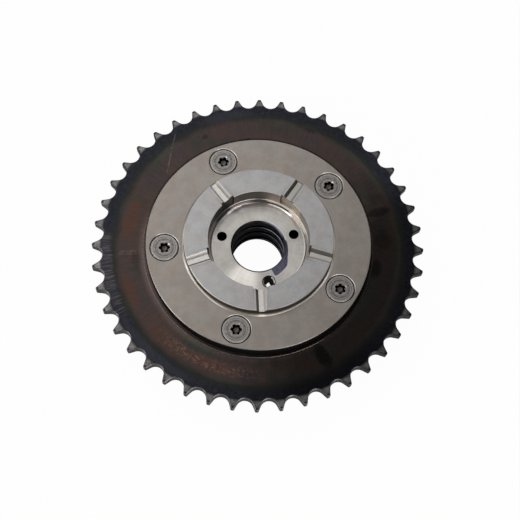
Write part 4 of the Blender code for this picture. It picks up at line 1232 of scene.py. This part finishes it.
inside = {"lock_bush": "pin", "lock_pin": "pin", "lock_pin_cap": "pin"}
for number in range(1, lobes["count"] + 1):
    inside["web_seal_%d" % number] = "seal"
    inside["vane_seal_%d" % number] = "seal"
    inside["web_seal_spring_%d" % number] = "spring"
    inside["vane_seal_spring_%d" % number] = "spring"
for name, key in inside.items():
    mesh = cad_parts[name].data
    mesh.materials.clear()
    mesh.materials.append(finishes[key])


def makeLockCoil():
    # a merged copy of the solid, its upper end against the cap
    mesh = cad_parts["lock_spring"].data.copy()
    mesh.materials.clear()
    piece = standing("lock_coil", weld(mesh), ["spring"])
    settle(piece, "rotor", "spring_steel", "lock_spring")
    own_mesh(piece)


makeLockCoil()
print("inside: %d solids finished, and the lock pin's coil" % len(inside))

# Floor, light and camera

studio = {
    "floorHalf": 3.0,
    "cameraWhite": 0.97,        # share of plain white that the camera sees in the floor
    "underPart": (0.05, 0.16),  # m from the axis, where the shade under the part ends
    "worldLevel": 0.25,
    "backdropSides": (190, 302),
    "backdropSpread": (0.72, 0.95),
    "backdropTop": (0.3, 0.6),
    "softboxSize": (0.95, 0.95),
    "softboxPlace": (-0.33, 0.53, 1.0),
    "softboxTurn": -25.0,
    "softboxPower": 5.2,
    "fillPlace": (-0.6, -0.9, 0.8),
    "fillSize": (0.6, 0.6),
    "fillPower": 1.0,
    # low panels: azimuth in degrees, height and power; the object's grooves mirror them
    "panels": ((206, 0.42, 3.0), (302, 0.42, 3.0)),
    "panelDistance": 0.95,
    "panelSize": (0.42, 0.5),
}
camera = {
    "aimBelowFace": 1.65,       # it looks at a point this far under the sprocket's face
    "distance": 441.84,
    "elevation": 1.20760190,
    "roll": 0.08426829,
    "yaw": -0.00263864,
    "pitch": -0.01122875,
    "focalPixels": 1076.588,
    "imagePixels": 520,
    "sensorWidth": 36,          # mm
    "clipStart": 0.01,          # m
}


def rayShare(tree, shares):
    # 1 for the rays named in shares, 0 for the others
    path = tree.nodes.new("ShaderNodeLightPath")
    total = Wire(tree, path.outputs[shares[0]])
    for name in shares[1:]:
        total = total.calc("MAXIMUM", total, Wire(tree, path.outputs[name]))
    return total


def makeFloor():
    half = studio["floorHalf"]
    mesh = bpy.data.meshes.new("floor")
    mesh.from_pydata([(-half, -half, 0), (half, -half, 0), (half, half, 0), (-half, half, 0)],
                     [], [(0, 1, 2, 3)])
    floor = linked("floor", mesh)
    material = bpy.data.materials.new("pale_floor")
    material.use_nodes = True
    tree = material.node_tree
    tree.nodes.clear()
    # under the part the floor lies in its shade, also for glossy rays
    start = Wire(tree, tree.nodes.new("ShaderNodeTexCoord").outputs["Object"])
    away = start.vector("LENGTH", out=1)
    glossy = rayShare(tree, ["Is Glossy Ray"]) * away.rise(*studio["underPart"])
    share = rayShare(tree, ["Is Camera Ray", "Is Transmission Ray"])
    share = share.calc("MAXIMUM", share, glossy) * studio["cameraWhite"]
    plain = share.make("ShaderNodeBsdfDiffuse", {}, {"Color": (0.85, 0.85, 0.85, 1)})
    glow = share.make("ShaderNodeEmission", {}, {"Color": (1, 1, 1, 1), "Strength": 1.0})
    share.make("ShaderNodeOutputMaterial", {},
               {0: share.make("ShaderNodeMixShader", {}, {0: share, 1: plain, 2: glow})})
    mesh.materials.append(material)


def makeWorld():
    world = bpy.data.worlds.new("studio")
    world.use_nodes = True
    bpy.context.scene.world = world
    tree = world.node_tree
    tree.nodes.clear()
    # glossy rays meet the white backdrop near the horizon, on the side of the low panels, and
    # the plain level of the room elsewhere
    ray = Wire(tree, tree.nodes.new("ShaderNodeTexCoord").outputs["Generated"])
    x, y, z = (ray.make("ShaderNodeSeparateXYZ", {}, {0: ray}, axis) for axis in range(3))
    side = sum(((x * math.cos(turn) + y * math.sin(turn)).rise(*studio["backdropSpread"])
                for turn in map(math.radians, studio["backdropSides"])), 0.0)
    backdrop = side * (1 - z.rise(*studio["backdropTop"]))
    white = rayShare(tree, ["Is Camera Ray", "Is Transmission Ray"])
    white = white.calc("MAXIMUM", white, rayShare(tree, ["Is Glossy Ray"]) * backdrop)
    level = studio["worldLevel"]
    strength = white * (1 - level) + level
    white.make("ShaderNodeOutputWorld", {}, {0: white.make(
        "ShaderNodeBackground", {}, {"Color": (1, 1, 1, 1), "Strength": strength})})


def softLight(name, place, size, power, turn=None):
    # an area light that lies level, turned by so many degrees, or else faces the object
    data = bpy.data.lights.new(name, "AREA")
    data.shape = "RECTANGLE"
    data.size, data.size_y = size
    data.energy = power
    lamp = linked(name, data)
    lamp.location = place
    if turn is None:
        lamp.rotation_euler = (-Vector(place)).to_track_quat("-Z", "Y").to_euler()
    else:
        lamp.rotation_euler.z = math.radians(turn)


def turnedAbout(axis, angle, *vectors):
    return [Matrix.Rotation(angle, 3, axis) @ vector for vector in vectors]


def makeCamera():
    spec = camera
    eye = Vector((0, -math.cos(spec["elevation"]), math.sin(spec["elevation"])))
    right = Vector((1, 0, 0))
    up = eye.cross(right)
    back, right = turnedAbout(up, spec["yaw"], eye, right)
    back, up = turnedAbout(right, spec["pitch"], back, up)
    right, up = turnedAbout(back, spec["roll"], right, up)
    data = bpy.data.cameras.new("camera")
    data.sensor_width = spec["sensorWidth"]
    data.lens = spec["focalPixels"] / spec["imagePixels"] * data.sensor_width
    data.clip_start = spec["clipStart"]
    made = linked("camera", data)
    middle = Vector((0, 0, sprocketFront - spec["aimBelowFace"])) * mm
    matrix = Matrix((right, up, back)).transposed().to_4x4()
    matrix.translation = middle + eye * spec["distance"] * mm
    made.matrix_world = matrix
    bpy.context.scene.camera = made


makeFloor()
makeWorld()
softLight("softbox", studio["softboxPlace"], studio["softboxSize"], studio["softboxPower"],
          studio["softboxTurn"])
softLight("fill", studio["fillPlace"], studio["fillSize"], studio["fillPower"])
for turn, height, power in studio["panels"]:
    softLight("panel_%d" % turn, (*onCircle(studio["panelDistance"], turn), height),
              studio["panelSize"], power)
makeCamera()
bpy.context.scene.view_settings.view_transform = "Standard"
print("studio: floor, lights and camera")
